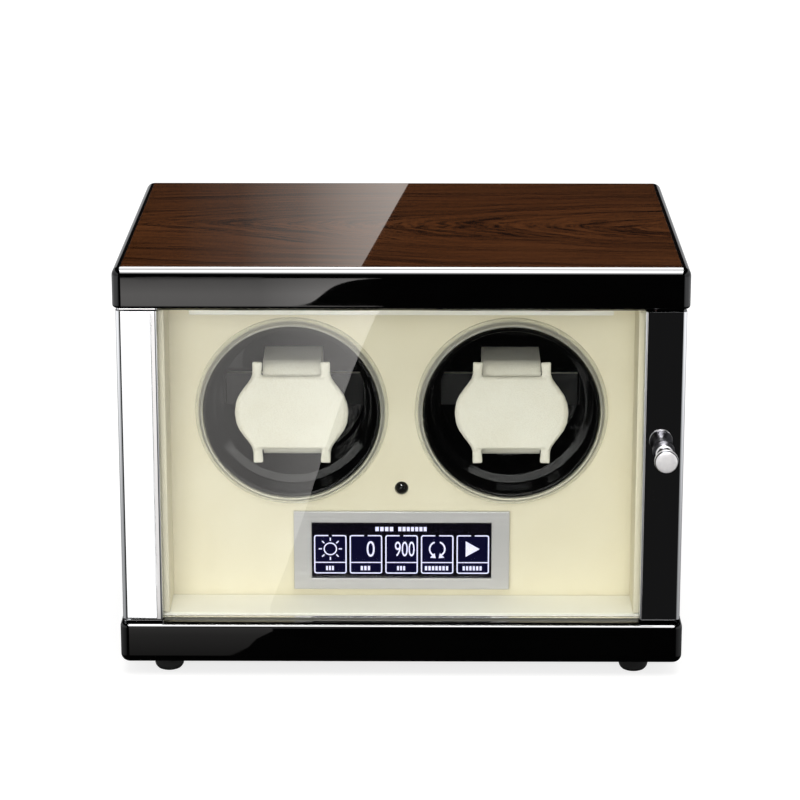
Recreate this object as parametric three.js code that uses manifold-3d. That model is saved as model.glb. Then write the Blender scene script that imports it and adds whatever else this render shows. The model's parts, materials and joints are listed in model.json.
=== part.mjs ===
// Double watch winder box. Millimetres, +X right, +Y back, +Z up.
// Origin: middle of the whole object's footprint, on the surface that its feet stand on.
import * as THREE from 'three';
import { mergeVertices } from 'three/addons/utils/BufferGeometryUtils.js';
import Module from 'manifold-3d';

const wasm = await Module();
wasm.setup();

// ---- Driving dimensions ----
const WIDTH = 270;              // lid and base boards, side to side
const DEPTH = 200;              // lid and base boards, front to back
const HEIGHT = 202;             // soles of the feet to the top of the lid
const FOOT_HEIGHT = 7;
const BOARD = 19.5;             // thickness of the lid and of the base
const WALL = 18;                // thickness of the side boards
const KNOB_REACH = 16;          // how far the knob stands out past the lid
const DOOR_SETBACK = 3.5;       // door face behind the lid's front edge
const DOOR_THICKNESS = 8;
const STILE_WIDTH = 19.5;
const PANEL_SETBACK = 39.8;     // cream front panel behind the lid's front edge
const PANEL_THICKNESS = 5;
const CUP_SPACING = 106;        // between the two cup axes
const CUP_AXIS_Z = 122.5;
const CUP_RADIUS = 42.3;
const CUP_BORE = 36;
const GEAR_MODULE = 1.25;
const CUP_TEETH = 48;
const PINION_TEETH = 12;
const GAP = 0.3;                // air kept between pieces that touch

// ---- Levels worked out from them ----
const FRONT = -(DEPTH + KNOB_REACH) / 2 + KNOB_REACH;
const BACK = FRONT + DEPTH;
const BASE_TOP = FOOT_HEIGHT + BOARD;
const LID_UNDER = HEIGHT - BOARD;
const BODY_HALF = WIDTH / 2 - 2;
const BODY_BACK = BACK - 2;
const INNER_HALF = BODY_HALF - WALL;
const DOOR_FRONT = FRONT + DOOR_SETBACK;
const DOOR_BACK = DOOR_FRONT + DOOR_THICKNESS;
const DOOR_HALF = WIDTH / 2 - 1.2;
const DOOR_BOTTOM = BASE_TOP + 1.8;
const DOOR_TOP = LID_UNDER - 1.8;
const CASE_FRONT = DOOR_BACK + 0.6;
const PANEL_FRONT = FRONT + PANEL_SETBACK;
const PANEL_BACK = PANEL_FRONT + PANEL_THICKNESS;
const INSIDE_BOTTOM = BASE_TOP + GAP;
const INSIDE_TOP = LID_UNDER - GAP;
const LINER = 3;

const STEEL = { color: 0xb9bcc0, roughness: 0.3, metalness: 1 };
const CHROME = { color: 0xe6e8ea, roughness: 0.05, metalness: 1 };
const BRASS = { color: 0xb08d45, roughness: 0.35, metalness: 1 };
const LACQUER = { color: 0x050505, roughness: 0.05, metalness: 0 };
const CREAM = { color: 0xcbc4a0, roughness: 0.6, metalness: 0 };
const CREAM_LEATHER = { color: 0xd8d3bd, roughness: 0.55, metalness: 0 };
const GLOSS_BLACK = { color: 0x080808, roughness: 0.08, metalness: 0 };
const MATT_BLACK = { color: 0x161616, roughness: 0.6, metalness: 0 };
const WHITE_NYLON = { color: 0xe8e4da, roughness: 0.5, metalness: 0 };
const CLEAR = { color: 0xf4f8f8, roughness: 0.02, metalness: 0, transparent: true, opacity: 0.35 };

const winder = new THREE.Group();

// ---- Small modelling tools ----
function toSolid(geometry) {
  const bare = geometry.clone();
  bare.deleteAttribute('normal');
  bare.deleteAttribute('uv');
  const merged = mergeVertices(bare, 1e-4);
  return new wasm.Manifold(new wasm.Mesh({
    numProp: 3,
    vertProperties: new Float32Array(merged.attributes.position.array),
    triVerts: new Uint32Array(merged.index.array),
  }));
}

function toGeometry(solid) {
  const mesh = solid.getMesh();
  const geometry = new THREE.BufferGeometry();
  geometry.setAttribute('position', new THREE.BufferAttribute(mesh.vertProperties, 3));
  geometry.setIndex(new THREE.BufferAttribute(mesh.triVerts, 1));
  geometry.computeVertexNormals();
  return geometry;
}

function cut(body, ...tools) {
  return toGeometry(tools.reduce((solid, tool) => solid.subtract(toSolid(tool)), toSolid(body)));
}

function join(body, ...extras) {
  return toGeometry(extras.reduce((solid, extra) => solid.add(toSolid(extra)), toSolid(body)));
}

function common(first, second) {
  return toGeometry(toSolid(first).intersect(toSolid(second)));
}

function block([x0, x1], [y0, y1], [z0, z1]) {
  const box = new THREE.BoxGeometry(x1 - x0, y1 - y0, z1 - z0);
  return box.translate((x0 + x1) / 2, (y0 + y1) / 2, (z0 + z1) / 2);
}

function plainRectangle(halfX, halfY, x = 0, y = 0) {
  return new THREE.Shape([
    new THREE.Vector2(x - halfX, y - halfY),
    new THREE.Vector2(x + halfX, y - halfY),
    new THREE.Vector2(x + halfX, y + halfY),
    new THREE.Vector2(x - halfX, y + halfY),
  ]);
}

function rectangle(halfX, halfY, corner, x = 0, y = 0) {
  const outline = new THREE.Shape();
  outline.moveTo(x - halfX + corner, y - halfY);
  outline.lineTo(x + halfX - corner, y - halfY);
  outline.absarc(x + halfX - corner, y - halfY + corner, corner, -Math.PI / 2, 0);
  outline.lineTo(x + halfX, y + halfY - corner);
  outline.absarc(x + halfX - corner, y + halfY - corner, corner, 0, Math.PI / 2);
  outline.lineTo(x - halfX + corner, y + halfY);
  outline.absarc(x - halfX + corner, y + halfY - corner, corner, Math.PI / 2, Math.PI);
  outline.lineTo(x - halfX, y - halfY + corner);
  outline.absarc(x - halfX + corner, y - halfY + corner, corner, Math.PI, 1.5 * Math.PI);
  return outline;
}

function polar(radius, angle) {
  return new THREE.Vector2(radius * Math.cos(angle), radius * Math.sin(angle));
}

function circle(radius, x = 0, y = 0) {
  const path = new THREE.Path();
  path.absarc(x, y, radius, 0, 2 * Math.PI);
  return path;
}

// An outline drawn in plan (x, y), with walls going up from z0 to z1.
function upright(outline, z0, z1, edge = 0, curveSegments = 4) {
  const geometry = new THREE.ExtrudeGeometry(outline, {
    depth: z1 - z0 - 2 * edge,
    bevelEnabled: edge > 0,
    bevelThickness: edge,
    bevelSize: edge,
    bevelOffset: -edge,
    bevelSegments: 3,
    curveSegments,
  });
  return geometry.translate(0, 0, z0 + edge);
}

// An outline drawn as seen from the front (x, z), with walls going back from y0 to y1.
function facing(outline, y0, y1, curveSegments = 6) {
  const geometry = new THREE.ExtrudeGeometry(outline, {
    depth: y1 - y0,
    bevelEnabled: false,
    curveSegments,
  });
  return geometry.rotateX(Math.PI / 2).translate(0, y1, 0);
}

// An outline drawn as seen from the side (y, z), with walls running from x0 to x1.
function sideways(outline, x0, x1, curveSegments = 5) {
  const geometry = new THREE.ExtrudeGeometry(outline, {
    depth: x1 - x0,
    bevelEnabled: false,
    curveSegments,
  });
  const turn = new THREE.Matrix4().makeBasis(
    new THREE.Vector3(0, 1, 0),
    new THREE.Vector3(0, 0, 1),
    new THREE.Vector3(1, 0, 0),
  );
  return geometry.applyMatrix4(turn).translate(x0, 0, 0);
}

// A closed profile of [radius, along] points turned about the Y axis.
function turned(profile, segments) {
  return new THREE.LatheGeometry(profile.map(([r, y]) => new THREE.Vector2(r, y)), segments);
}

// The same, about a vertical axis.
function turnedUpright(profile, segments) {
  return turned(profile, segments).rotateX(Math.PI / 2);
}

// A plain rod along Y.
function rod(radius, y0, y1, segments = 16) {
  return turned([[0, y0], [radius, y0], [radius, y1], [0, y1]], segments);
}

function add(parent, name, geometry, look, [x, y, z] = [0, 0, 0]) {
  const mesh = new THREE.Mesh(geometry, new THREE.MeshStandardMaterial(look));
  mesh.name = name;
  mesh.position.set(x, y, z);
  parent.add(mesh);
}

// ---- Case: lid, base, walls and feet ----
const PLAN_CORNER = 4.5;

function roundedBoard(bottom, topRound, bottomRound) {
  const plan = rectangle(WIDTH / 2, DEPTH / 2, PLAN_CORNER, 0, (FRONT + BACK) / 2);
  const spare = 10;
  return common(
    upright(plan, bottom - spare, bottom + BOARD, topRound, 3),
    upright(plan, bottom, bottom + BOARD + spare, bottomRound, 3),
  );
}

const LID_ROUND = 4;
const VENEER = 0.6;

function addLid() {
  const recess = rectangle(WIDTH / 2 - LID_ROUND, DEPTH / 2 - LID_ROUND, 1, 0, (FRONT + BACK) / 2);
  const board = cut(
    roundedBoard(LID_UNDER, LID_ROUND, 1.5),
    upright(recess, HEIGHT - VENEER - GAP, HEIGHT + 1, 0, 1),
  );
  add(winder, 'lid_board', board, LACQUER);
  const inset = LID_ROUND + GAP;
  const sheet = rectangle(WIDTH / 2 - inset, DEPTH / 2 - inset, 0.7, 0, (FRONT + BACK) / 2);
  const wood = { color: 0x4a2818, roughness: 0.12, metalness: 0 };
  add(winder, 'lid_veneer', upright(sheet, HEIGHT - VENEER, HEIGHT, 0, 1), wood);
}

const FOOT_RADIUS = 7;
const FOOT_INSET_X = 22.5;
const FOOT_INSET_Y = 14;

function addBaseAndFeet() {
  add(winder, 'base_board', roundedBoard(FOOT_HEIGHT, 1.5, 4), LACQUER);
  const top = FOOT_HEIGHT - GAP;
  const dome = [[0, 0], [4.6, 0], [6.2, 1], [FOOT_RADIUS, 3], [FOOT_RADIUS, top], [0, top]];
  const rubber = { color: 0x0c0c0c, roughness: 0.8, metalness: 0 };
  for (const [row, y] of [['front', FRONT + FOOT_INSET_Y], ['rear', BACK - FOOT_INSET_Y]]) {
    for (const [side, sign] of [['left', -1], ['right', 1]]) {
      const place = [sign * (WIDTH / 2 - FOOT_INSET_X), y, 0];
      add(winder, `foot_${row}_${side}`, turnedUpright(dome, 16), rubber, place);
    }
  }
}

const KNOB_X = DOOR_HALF - STILE_WIDTH / 2;
const KNOB_Z = 113;
const CATCH_Z = 152;
const CATCH_RADIUS = 5;
const CATCH_LENGTH = 10;

function addSideWalls() {
  const heights = [INSIDE_BOTTOM, INSIDE_TOP];
  const left = block([-BODY_HALF, -INNER_HALF], [CASE_FRONT, BODY_BACK], heights);
  add(winder, 'side_wall_left', left, LACQUER);
  const pocket = rod(CATCH_RADIUS + GAP, CASE_FRONT - 1, CASE_FRONT + CATCH_LENGTH + GAP);
  const right = cut(
    block([INNER_HALF, BODY_HALF], [CASE_FRONT, BODY_BACK], heights),
    pocket.translate(KNOB_X, 0, CATCH_Z),
  );
  add(winder, 'side_wall_right', right, LACQUER);
  const magnet = rod(CATCH_RADIUS, CASE_FRONT, CASE_FRONT + CATCH_LENGTH);
  add(winder, 'door_magnet', magnet, STEEL, [KNOB_X, 0, CATCH_Z]);
}

const INLET_X = 0;
const INLET_Z = 48;
const BACK_PANEL = [BODY_BACK - 10, BODY_BACK - 2];
const SCREW_X = 104;
const SCREW_ROWS = { lower: BASE_TOP + 12, upper: LID_UNDER - 12 };

function addBackPanel() {
  const [y0, y1] = BACK_PANEL;
  let panel = block([-INNER_HALF + GAP, INNER_HALF - GAP], [y0, y1], [INSIDE_BOTTOM, INSIDE_TOP]);
  panel = cut(panel, rod(5.8, y0 - 1, y1 + 1).translate(INLET_X, 0, INLET_Z));
  const sink = [[0, y0 - 1], [1.9, y0 - 1], [1.9, y1 - 2.7], [4.2, y1 - 0.4], [4.2, y1 + 1],
    [0, y1 + 1]];
  const head = [[0, y0 + 1], [1.5, y0 + 1], [1.5, y1 - 2.5], [3.7, y1 - 0.4], [0, y1 - 0.4]];
  const drive = [
    block([-2.2, 2.2], [y1 - 1.4, y1], [-0.4, 0.4]),
    block([-0.4, 0.4], [y1 - 1.4, y1], [-2.2, 2.2]),
  ];
  for (const [row, z] of Object.entries(SCREW_ROWS)) {
    for (const [side, sign] of [['left', -1], ['right', 1]]) {
      panel = cut(panel, turned(sink, 16).translate(sign * SCREW_X, 0, z));
      const screw = cut(turned(head, 16), ...drive);
      add(winder, `back_screw_${row}_${side}`, screw, STEEL, [sign * SCREW_X, 0, z]);
    }
  }
  add(winder, 'back_panel', panel, MATT_BLACK);
}

function addPowerInlet() {
  const [y0, y1] = BACK_PANEL;
  const barrel = [[0, y0 - 7], [5.5, y0 - 7], [5.5, y1 + GAP], [7.5, y1 + GAP], [7.5, y1 + 1.8],
    [3.2, y1 + 1.8], [3.2, y1 - 8], [1, y1 - 8], [1, y1], [0, y1]];
  add(winder, 'dc_inlet', turned(barrel, 16), MATT_BLACK, [INLET_X, 0, INLET_Z]);
}

// ---- Cream compartment behind the glass ----
const DISPLAY_Z = 52.2;
const DISPLAY_SLOT = { halfX: 46, halfZ: 16 };
const EYE_Z = 83.6;
const RING_SLEEVE = 43.8;

function addFrontPanel() {
  const halfHeight = (INSIDE_TOP - INSIDE_BOTTOM) / 2;
  const middle = (INSIDE_TOP + INSIDE_BOTTOM) / 2;
  const outline = plainRectangle(INNER_HALF - GAP, halfHeight, 0, middle);
  for (const sign of [-1, 1]) {
    outline.holes.push(circle(RING_SLEEVE + GAP, sign * CUP_SPACING / 2, CUP_AXIS_Z));
  }
  outline.holes.push(circle(3.3, 0, EYE_Z));
  outline.holes.push(plainRectangle(DISPLAY_SLOT.halfX, DISPLAY_SLOT.halfZ, 0, DISPLAY_Z));
  add(winder, 'front_panel', facing(outline, PANEL_FRONT, PANEL_BACK, 20), CREAM);
}

function addLiners() {
  const front = CASE_FRONT + 0.4;
  const back = PANEL_FRONT - GAP;
  const half = INNER_HALF - GAP;
  const floorTop = INSIDE_BOTTOM + 2;
  const ceiling = INSIDE_TOP - LINER;
  add(winder, 'floor_liner', block([-half, half], [front, back], [INSIDE_BOTTOM, floorTop]), CREAM);
  add(winder, 'ceiling_liner', block([-half, half], [front, back], [ceiling, INSIDE_TOP]), CREAM);
  for (const [side, sign] of [['left', -1], ['right', 1]]) {
    const span = [sign * half, sign * (half - LINER)].sort((a, b) => a - b);
    const board = block(span, [front, back], [floorTop + GAP, ceiling - GAP]);
    add(winder, `wall_liner_${side}`, board, CREAM);
  }
  const glow = { color: 0xfff6dd, roughness: 0.4, metalness: 0 };
  const strip = block([-100, 100], [front + 2, front + 12], [ceiling - GAP - 2.5, ceiling - GAP]);
  add(winder, 'led_strip', strip, glow);
}

function addDisplay() {
  const behindBezel = PANEL_FRONT - GAP;
  const place = [0, 0, DISPLAY_Z];
  const frame = plainRectangle(52.6, 19.9);
  frame.holes.push(plainRectangle(43.9, 14.3));
  const aluminium = { color: 0xb5b4b0, roughness: 0.35, metalness: 1 };
  add(winder, 'display_bezel', facing(frame, behindBezel - 2, behindBezel), aluminium, place);
  const window = block([-43.6, 43.6], [behindBezel - 1.6, behindBezel], [-14, 14]);
  add(winder, 'display_window', window, { color: 0x08070f, roughness: 0.05, metalness: 0 }, place);
  const module = block([-45.7, 45.7], [PANEL_FRONT, PANEL_BACK + 2], [-15.7, 15.7]);
  add(winder, 'display_module', module, MATT_BLACK, place);
  const boardFront = PANEL_BACK + 2 + GAP;
  const board = join(
    block([-52, 52], [boardFront, boardFront + 1.6], [-21, 21]),
    block([-20, -6], [boardFront + 1, boardFront + 7], [-6, 6]),
    block([6, 20], [boardFront + 1, boardFront + 7], [-6, 6]),
    block([-5, 5], [boardFront + 1, boardFront + 6], [-18, -10]),
    block([28, 42], [boardFront + 1, boardFront + 4], [-8, 8]),
  );
  add(winder, 'control_board', board, { color: 0x124a2c, roughness: 0.5, metalness: 0.1 }, place);
  const dome = [[0, PANEL_FRONT - 2.4], [1.8, PANEL_FRONT - 2.1], [2.8, PANEL_FRONT - 1.2],
    [3, PANEL_FRONT], [3, PANEL_BACK + 1], [0, PANEL_BACK + 1]];
  add(winder, 'infrared_eye', turned(dome, 20), GLOSS_BLACK, [0, 0, EYE_Z]);
}

// ---- Glass door, hung on two pivots at its left edge ----
const GLASS_THICKNESS = 4;
const GLASS_FRONT = DOOR_BACK - 1.5 - GLASS_THICKNESS;
const GLASS_BITE = 5;
const PIVOT_X = -DOOR_HALF + 3.8;
const PIVOT_Y = DOOR_BACK - 4.3;
const PIN_RADIUS = 1.4;
const BUSH_RADIUS = 2.3;
const BUSH_LENGTH = 8;

// A rounded bar with a groove for the glass. Its plan is drawn for the left side.
function stileGeometry(sign) {
  const outer = -DOOR_HALF;
  const inner = outer + STILE_WIDTH;
  const round = 2.5;
  const soft = 1.2;
  const plan = new THREE.Shape();
  plan.moveTo(inner - soft, DOOR_FRONT);
  plan.absarc(inner - soft, DOOR_FRONT + soft, soft, -Math.PI / 2, 0);
  plan.lineTo(inner, GLASS_FRONT - GAP);
  plan.lineTo(inner - GLASS_BITE, GLASS_FRONT - GAP);
  plan.lineTo(inner - GLASS_BITE, GLASS_FRONT + GLASS_THICKNESS + GAP);
  plan.lineTo(inner, GLASS_FRONT + GLASS_THICKNESS + GAP);
  plan.lineTo(inner, DOOR_BACK);
  plan.lineTo(outer + round, DOOR_BACK);
  plan.absarc(outer + round, DOOR_BACK - round, round, Math.PI / 2, Math.PI);
  plan.lineTo(outer, DOOR_FRONT + round);
  plan.absarc(outer + round, DOOR_FRONT + round, round, Math.PI, 1.5 * Math.PI);
  const points = plan.getPoints(4).map((point) => new THREE.Vector2(-sign * point.x, point.y));
  return upright(new THREE.Shape(points), DOOR_BOTTOM, DOOR_TOP);
}

function addDoor() {
  const boreRadius = BUSH_RADIUS + GAP;
  const boreEnd = BUSH_LENGTH + GAP;
  const bore = [[0, -1], [boreRadius, -1], [boreRadius, boreEnd], [0, boreEnd]];
  const lowerBore = turnedUpright(bore, 16).translate(PIVOT_X, PIVOT_Y, DOOR_BOTTOM);
  const upperBore = turnedUpright(bore, 16).rotateX(Math.PI);
  upperBore.translate(PIVOT_X, PIVOT_Y, DOOR_TOP);
  add(winder, 'door_stile_left', cut(stileGeometry(-1), lowerBore, upperBore), CHROME);

  const screwHole = turned([[0, DOOR_FRONT - 1], [2.2, DOOR_FRONT - 1], [2.2, DOOR_BACK - 2.4],
    [4, DOOR_BACK - 2.4], [4, DOOR_BACK + 1], [0, DOOR_BACK + 1]], 16);
  const strikeRecess = rod(6.3, DOOR_BACK - 1.2, DOOR_BACK + 1, 20);
  const right = cut(
    stileGeometry(1),
    screwHole.translate(KNOB_X, 0, KNOB_Z),
    strikeRecess.translate(KNOB_X, 0, CATCH_Z),
  );
  add(winder, 'door_stile_right', right, CHROME);
  const strike = rod(6, DOOR_BACK - 0.9, DOOR_BACK - 0.1, 20);
  add(winder, 'strike_plate', strike, STEEL, [KNOB_X, 0, CATCH_Z]);

  const glassHalf = DOOR_HALF - STILE_WIDTH + GLASS_BITE - GAP;
  const glassDepth = [GLASS_FRONT, GLASS_FRONT + GLASS_THICKNESS];
  const pane = block([-glassHalf, glassHalf], glassDepth, [DOOR_BOTTOM, DOOR_TOP]);
  add(winder, 'door_glass', pane, CLEAR);
  addKnob();
  addPivots();
}

function addKnob() {
  const seat = DOOR_FRONT - GAP;
  const tip = FRONT - KNOB_REACH;
  const profile = [[0, tip], [4.2, tip + 0.2], [5.4, tip + 1.1], [5.65, tip + 2.4], [5.3, tip + 4],
    [3.6, tip + 5], [3.1, tip + 6.5], [3.1, seat - 6], [4.1, seat - 5], [4.1, seat - 4],
    [3.3, seat - 3.2], [5.25, seat - 1.4], [5.25, seat], [2.2, seat], [2.2, seat - 9], [0, seat - 9]];
  add(winder, 'door_knob', turned(profile, 20), CHROME, [KNOB_X, 0, KNOB_Z]);
  const headBack = DOOR_BACK - 0.4;
  const screw = [[0, seat - 8], [1.9, seat - 8], [1.9, headBack - 1.7], [3.6, headBack - 1.7],
    [3.6, headBack], [0, headBack]];
  add(winder, 'knob_screw', turned(screw, 16), STEEL, [KNOB_X, 0, KNOB_Z]);
}

function addPivots() {
  const bushSection = [[PIN_RADIUS + GAP, 0], [BUSH_RADIUS, 0], [BUSH_RADIUS, BUSH_LENGTH],
    [PIN_RADIUS + GAP, BUSH_LENGTH], [PIN_RADIUS + GAP, 0]];
  const pin = [[0, 0], [PIN_RADIUS, 0], [PIN_RADIUS, BUSH_LENGTH], [0, BUSH_LENGTH]];
  const collar = [[0, 0], [2.6, 0], [2.6, 1], [0, 1]];
  const plateOutline = rectangle(9.5, 3.2, 1, PIVOT_X + 6.5, PIVOT_Y);
  const plate = 0.8;
  const ends = [
    ['lower', INSIDE_BOTTOM, 0, [INSIDE_BOTTOM, INSIDE_BOTTOM + plate]],
    ['upper', INSIDE_TOP, Math.PI, [INSIDE_TOP - plate, INSIDE_TOP]],
  ];
  for (const [end, level, turn, [plateUnder, plateTop]] of ends) {
    const place = (geometry, lift) => geometry.translate(0, 0, lift).rotateX(turn)
      .translate(PIVOT_X, PIVOT_Y, level);
    const hinge = join(
      upright(plateOutline, plateUnder, plateTop),
      place(turnedUpright(collar, 12), 0.1),
      place(turnedUpright(pin, 12), 0.5),
    );
    add(winder, `door_pivot_${end}`, hinge, CHROME);
    const lift = DOOR_BOTTOM - INSIDE_BOTTOM + 0.2;
    add(winder, `pivot_bush_${end}`, place(turnedUpright(bushSection, 12), lift), WHITE_NYLON);
  }
}

// ---- Winding cups, their rings, pillows and drives ----
const CUP_RIM = PANEL_FRONT - 4;
const CUP_STEP = CUP_RIM + 18;
const CUP_BACK = CUP_RIM + 52;
const RIB_INNER = 34.2;

function ringGeometry() {
  const seat = PANEL_FRONT - GAP;
  const sleeve = 42.9;
  const flange = 46.7;
  return turned([[sleeve, CUP_RIM - 0.6], [sleeve + 1.1, CUP_RIM - 0.6], [flange, seat - 0.8],
    [flange, seat], [RING_SLEEVE, seat], [RING_SLEEVE, PANEL_BACK + 2], [sleeve, PANEL_BACK + 2],
    [sleeve, CUP_RIM - 0.6]], 40);
}

// A curved clip on the cup's ledge, centred on three or nine o'clock.
function clipOutline(start) {
  const half = 0.27;
  const outline = new THREE.Shape();
  outline.absarc(0, 0, 39.2, start - half, start + half, false);
  outline.absarc(0, 0, 37.4, start + half, start - half, true);
  return outline;
}

function cupGeometry() {
  const shell = turned([[0, CUP_BACK - 3], [CUP_BORE, CUP_BACK - 3], [CUP_BORE, CUP_STEP],
    [40.6, CUP_STEP - 1], [40.6, CUP_RIM], [CUP_RADIUS, CUP_RIM], [CUP_RADIUS, CUP_STEP + 2],
    [CUP_BORE + 2, CUP_STEP + 4], [CUP_BORE + 2, CUP_BACK], [0, CUP_BACK]], 40);
  const details = [];
  for (const sign of [-1, 1]) {
    const span = [sign * RIB_INNER, sign * (CUP_BORE + 1)].sort((a, b) => a - b);
    details.push(block(span, [CUP_STEP + 6, CUP_BACK - 2], [-10, 10]));
    details.push(facing(clipOutline(sign > 0 ? 0 : Math.PI), CUP_STEP - 4, CUP_STEP + 1, 4));
  }
  return join(shell, ...details);
}

const PILLOW_FRONT = CUP_RIM - 0.8;
const PILLOW_PAD = 4;
const LOOP_HALF = 23.5;
const LOOP_WALL = 3;
const LOOP_WIDTH = 14;

// Front pad: wide in the middle, necked above and below, with a notch for the strap at each end.
function pillowPadGeometry() {
  const waist = 29.2;
  const neck = 20.2;
  const tip = 27;
  const notch = 15;
  const notchDepth = 7;
  const outline = new THREE.Shape();
  outline.moveTo(notch, notchDepth - tip);
  outline.lineTo(notch, -tip);
  outline.lineTo(neck, -tip);
  outline.lineTo(neck, -tip + 6);
  outline.bezierCurveTo(neck + 1, -15, waist, -12, waist, 0);
  outline.bezierCurveTo(waist, 12, neck + 1, 15, neck, tip - 6);
  outline.lineTo(neck, tip);
  outline.lineTo(notch, tip);
  outline.lineTo(notch, tip - notchDepth);
  outline.lineTo(-notch, tip - notchDepth);
  outline.lineTo(-notch, tip);
  outline.lineTo(-neck, tip);
  outline.lineTo(-neck, tip - 6);
  outline.bezierCurveTo(-neck - 1, 15, -waist, 12, -waist, 0);
  outline.bezierCurveTo(-waist, -12, -neck - 1, -15, -neck, -tip + 6);
  outline.lineTo(-neck, -tip);
  outline.lineTo(-notch, -tip);
  outline.lineTo(-notch, notchDepth - tip);
  return facing(outline, PILLOW_FRONT, PILLOW_FRONT + PILLOW_PAD, 6);
}

// The loop that the strap closes round, with a cross bar at the back that the cup's ribs hold.
function pillowLoopGeometry() {
  const front = PILLOW_FRONT + PILLOW_PAD + GAP;
  const back = CUP_BACK - 3 - 4;
  const halfDepth = (back - front) / 2;
  const middle = (back + front) / 2;
  const side = rectangle(halfDepth, LOOP_HALF, 9, middle, 0);
  side.holes.push(rectangle(halfDepth - LOOP_WALL, LOOP_HALF - LOOP_WALL, 6, middle, 0));
  const bar = block([-33.8, 33.8], [back - 1, back + 2], [-8, 8]);
  return join(sideways(side, -LOOP_WIDTH, LOOP_WIDTH), bar);
}

// Straight-flanked teeth, thinned a little so that the pair runs freely.
function gearOutline(teeth, bore) {
  const pitchRadius = GEAR_MODULE * teeth / 2;
  const tip = pitchRadius + 0.9 * GEAR_MODULE;
  const root = pitchRadius - 1.2 * GEAR_MODULE;
  const pitch = 2 * Math.PI / teeth;
  const rootHalf = 0.31 * pitch;
  const tipHalf = 0.5 * GEAR_MODULE * 0.62 / tip;
  const points = [];
  for (let tooth = 0; tooth < teeth; tooth += 1) {
    const centre = tooth * pitch;
    points.push(polar(root, centre - rootHalf));
    points.push(polar(tip, centre - tipHalf));
    points.push(polar(tip, centre + tipHalf));
    points.push(polar(root, centre + rootHalf));
  }
  const outline = new THREE.Shape(points);
  if (bore > 0) {
    outline.holes.push(circle(bore));
  }
  return outline;
}

const SHAFT_RADIUS = 4;
const GEAR_FRONT = CUP_BACK + GAP;
const GEAR_WIDTH = 6;
const SHOULDER = GEAR_FRONT + GEAR_WIDTH + GAP;
const PLATE_FRONT = SHOULDER + 6;
const PLATE_BACK = PLATE_FRONT + 3;
const SHAFT_END = PLATE_BACK + 18;
const CENTRE_DISTANCE = GEAR_MODULE * (CUP_TEETH + PINION_TEETH) / 2 + 0.35;
const DRIVE_ANGLE = -50 * Math.PI / 180;

function bracketGeometry(sign) {
  const hole = circle(7.3);
  const outline = new THREE.Shape();
  const foot = INSIDE_BOTTOM - CUP_AXIS_Z;
  outline.moveTo(-38, foot);
  outline.lineTo(38, foot);
  outline.lineTo(38, -24);
  outline.lineTo(19, 12);
  outline.absarc(0, 0, 22, Math.PI / 5.5, Math.PI - Math.PI / 5.5, false);
  outline.lineTo(-38, -24);
  outline.holes.push(hole);
  const motorX = sign * CENTRE_DISTANCE * Math.cos(DRIVE_ANGLE);
  const motorZ = CENTRE_DISTANCE * Math.sin(DRIVE_ANGLE);
  outline.holes.push(circle(4.3, motorX, motorZ));
  const plate = facing(outline, PLATE_FRONT, PLATE_BACK, 12);
  const shoe = block([-38, 38], [PLATE_BACK - 1, PLATE_BACK + 22], [foot, foot + 3]);
  const gusset = new THREE.Shape();
  gusset.moveTo(PLATE_BACK - 1, foot + 2);
  gusset.lineTo(PLATE_BACK + 18, foot + 2);
  gusset.lineTo(PLATE_BACK - 1, foot + 32);
  return join(plate, shoe, sideways(gusset, -36, -33), sideways(gusset, 33, 36));
}

function motorGeometry() {
  const front = PLATE_BACK + GAP;
  return turned([[0, front + 4], [1.9, front + 4], [1.9, front - 5], [3.9, front - 5], [3.9, front],
    [12.2, front], [12.2, front + 15], [11.6, front + 15.5], [11.6, front + 36], [10.4, front + 37.5],
    [0, front + 37.5]], 16);
}

function pinionGeometry() {
  const shaft = rod(1.5, GEAR_FRONT + 1, PLATE_BACK + 3, 12);
  const gear = facing(gearOutline(PINION_TEETH, 0), GEAR_FRONT, GEAR_FRONT + GEAR_WIDTH);
  return join(gear, shaft);
}

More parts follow.
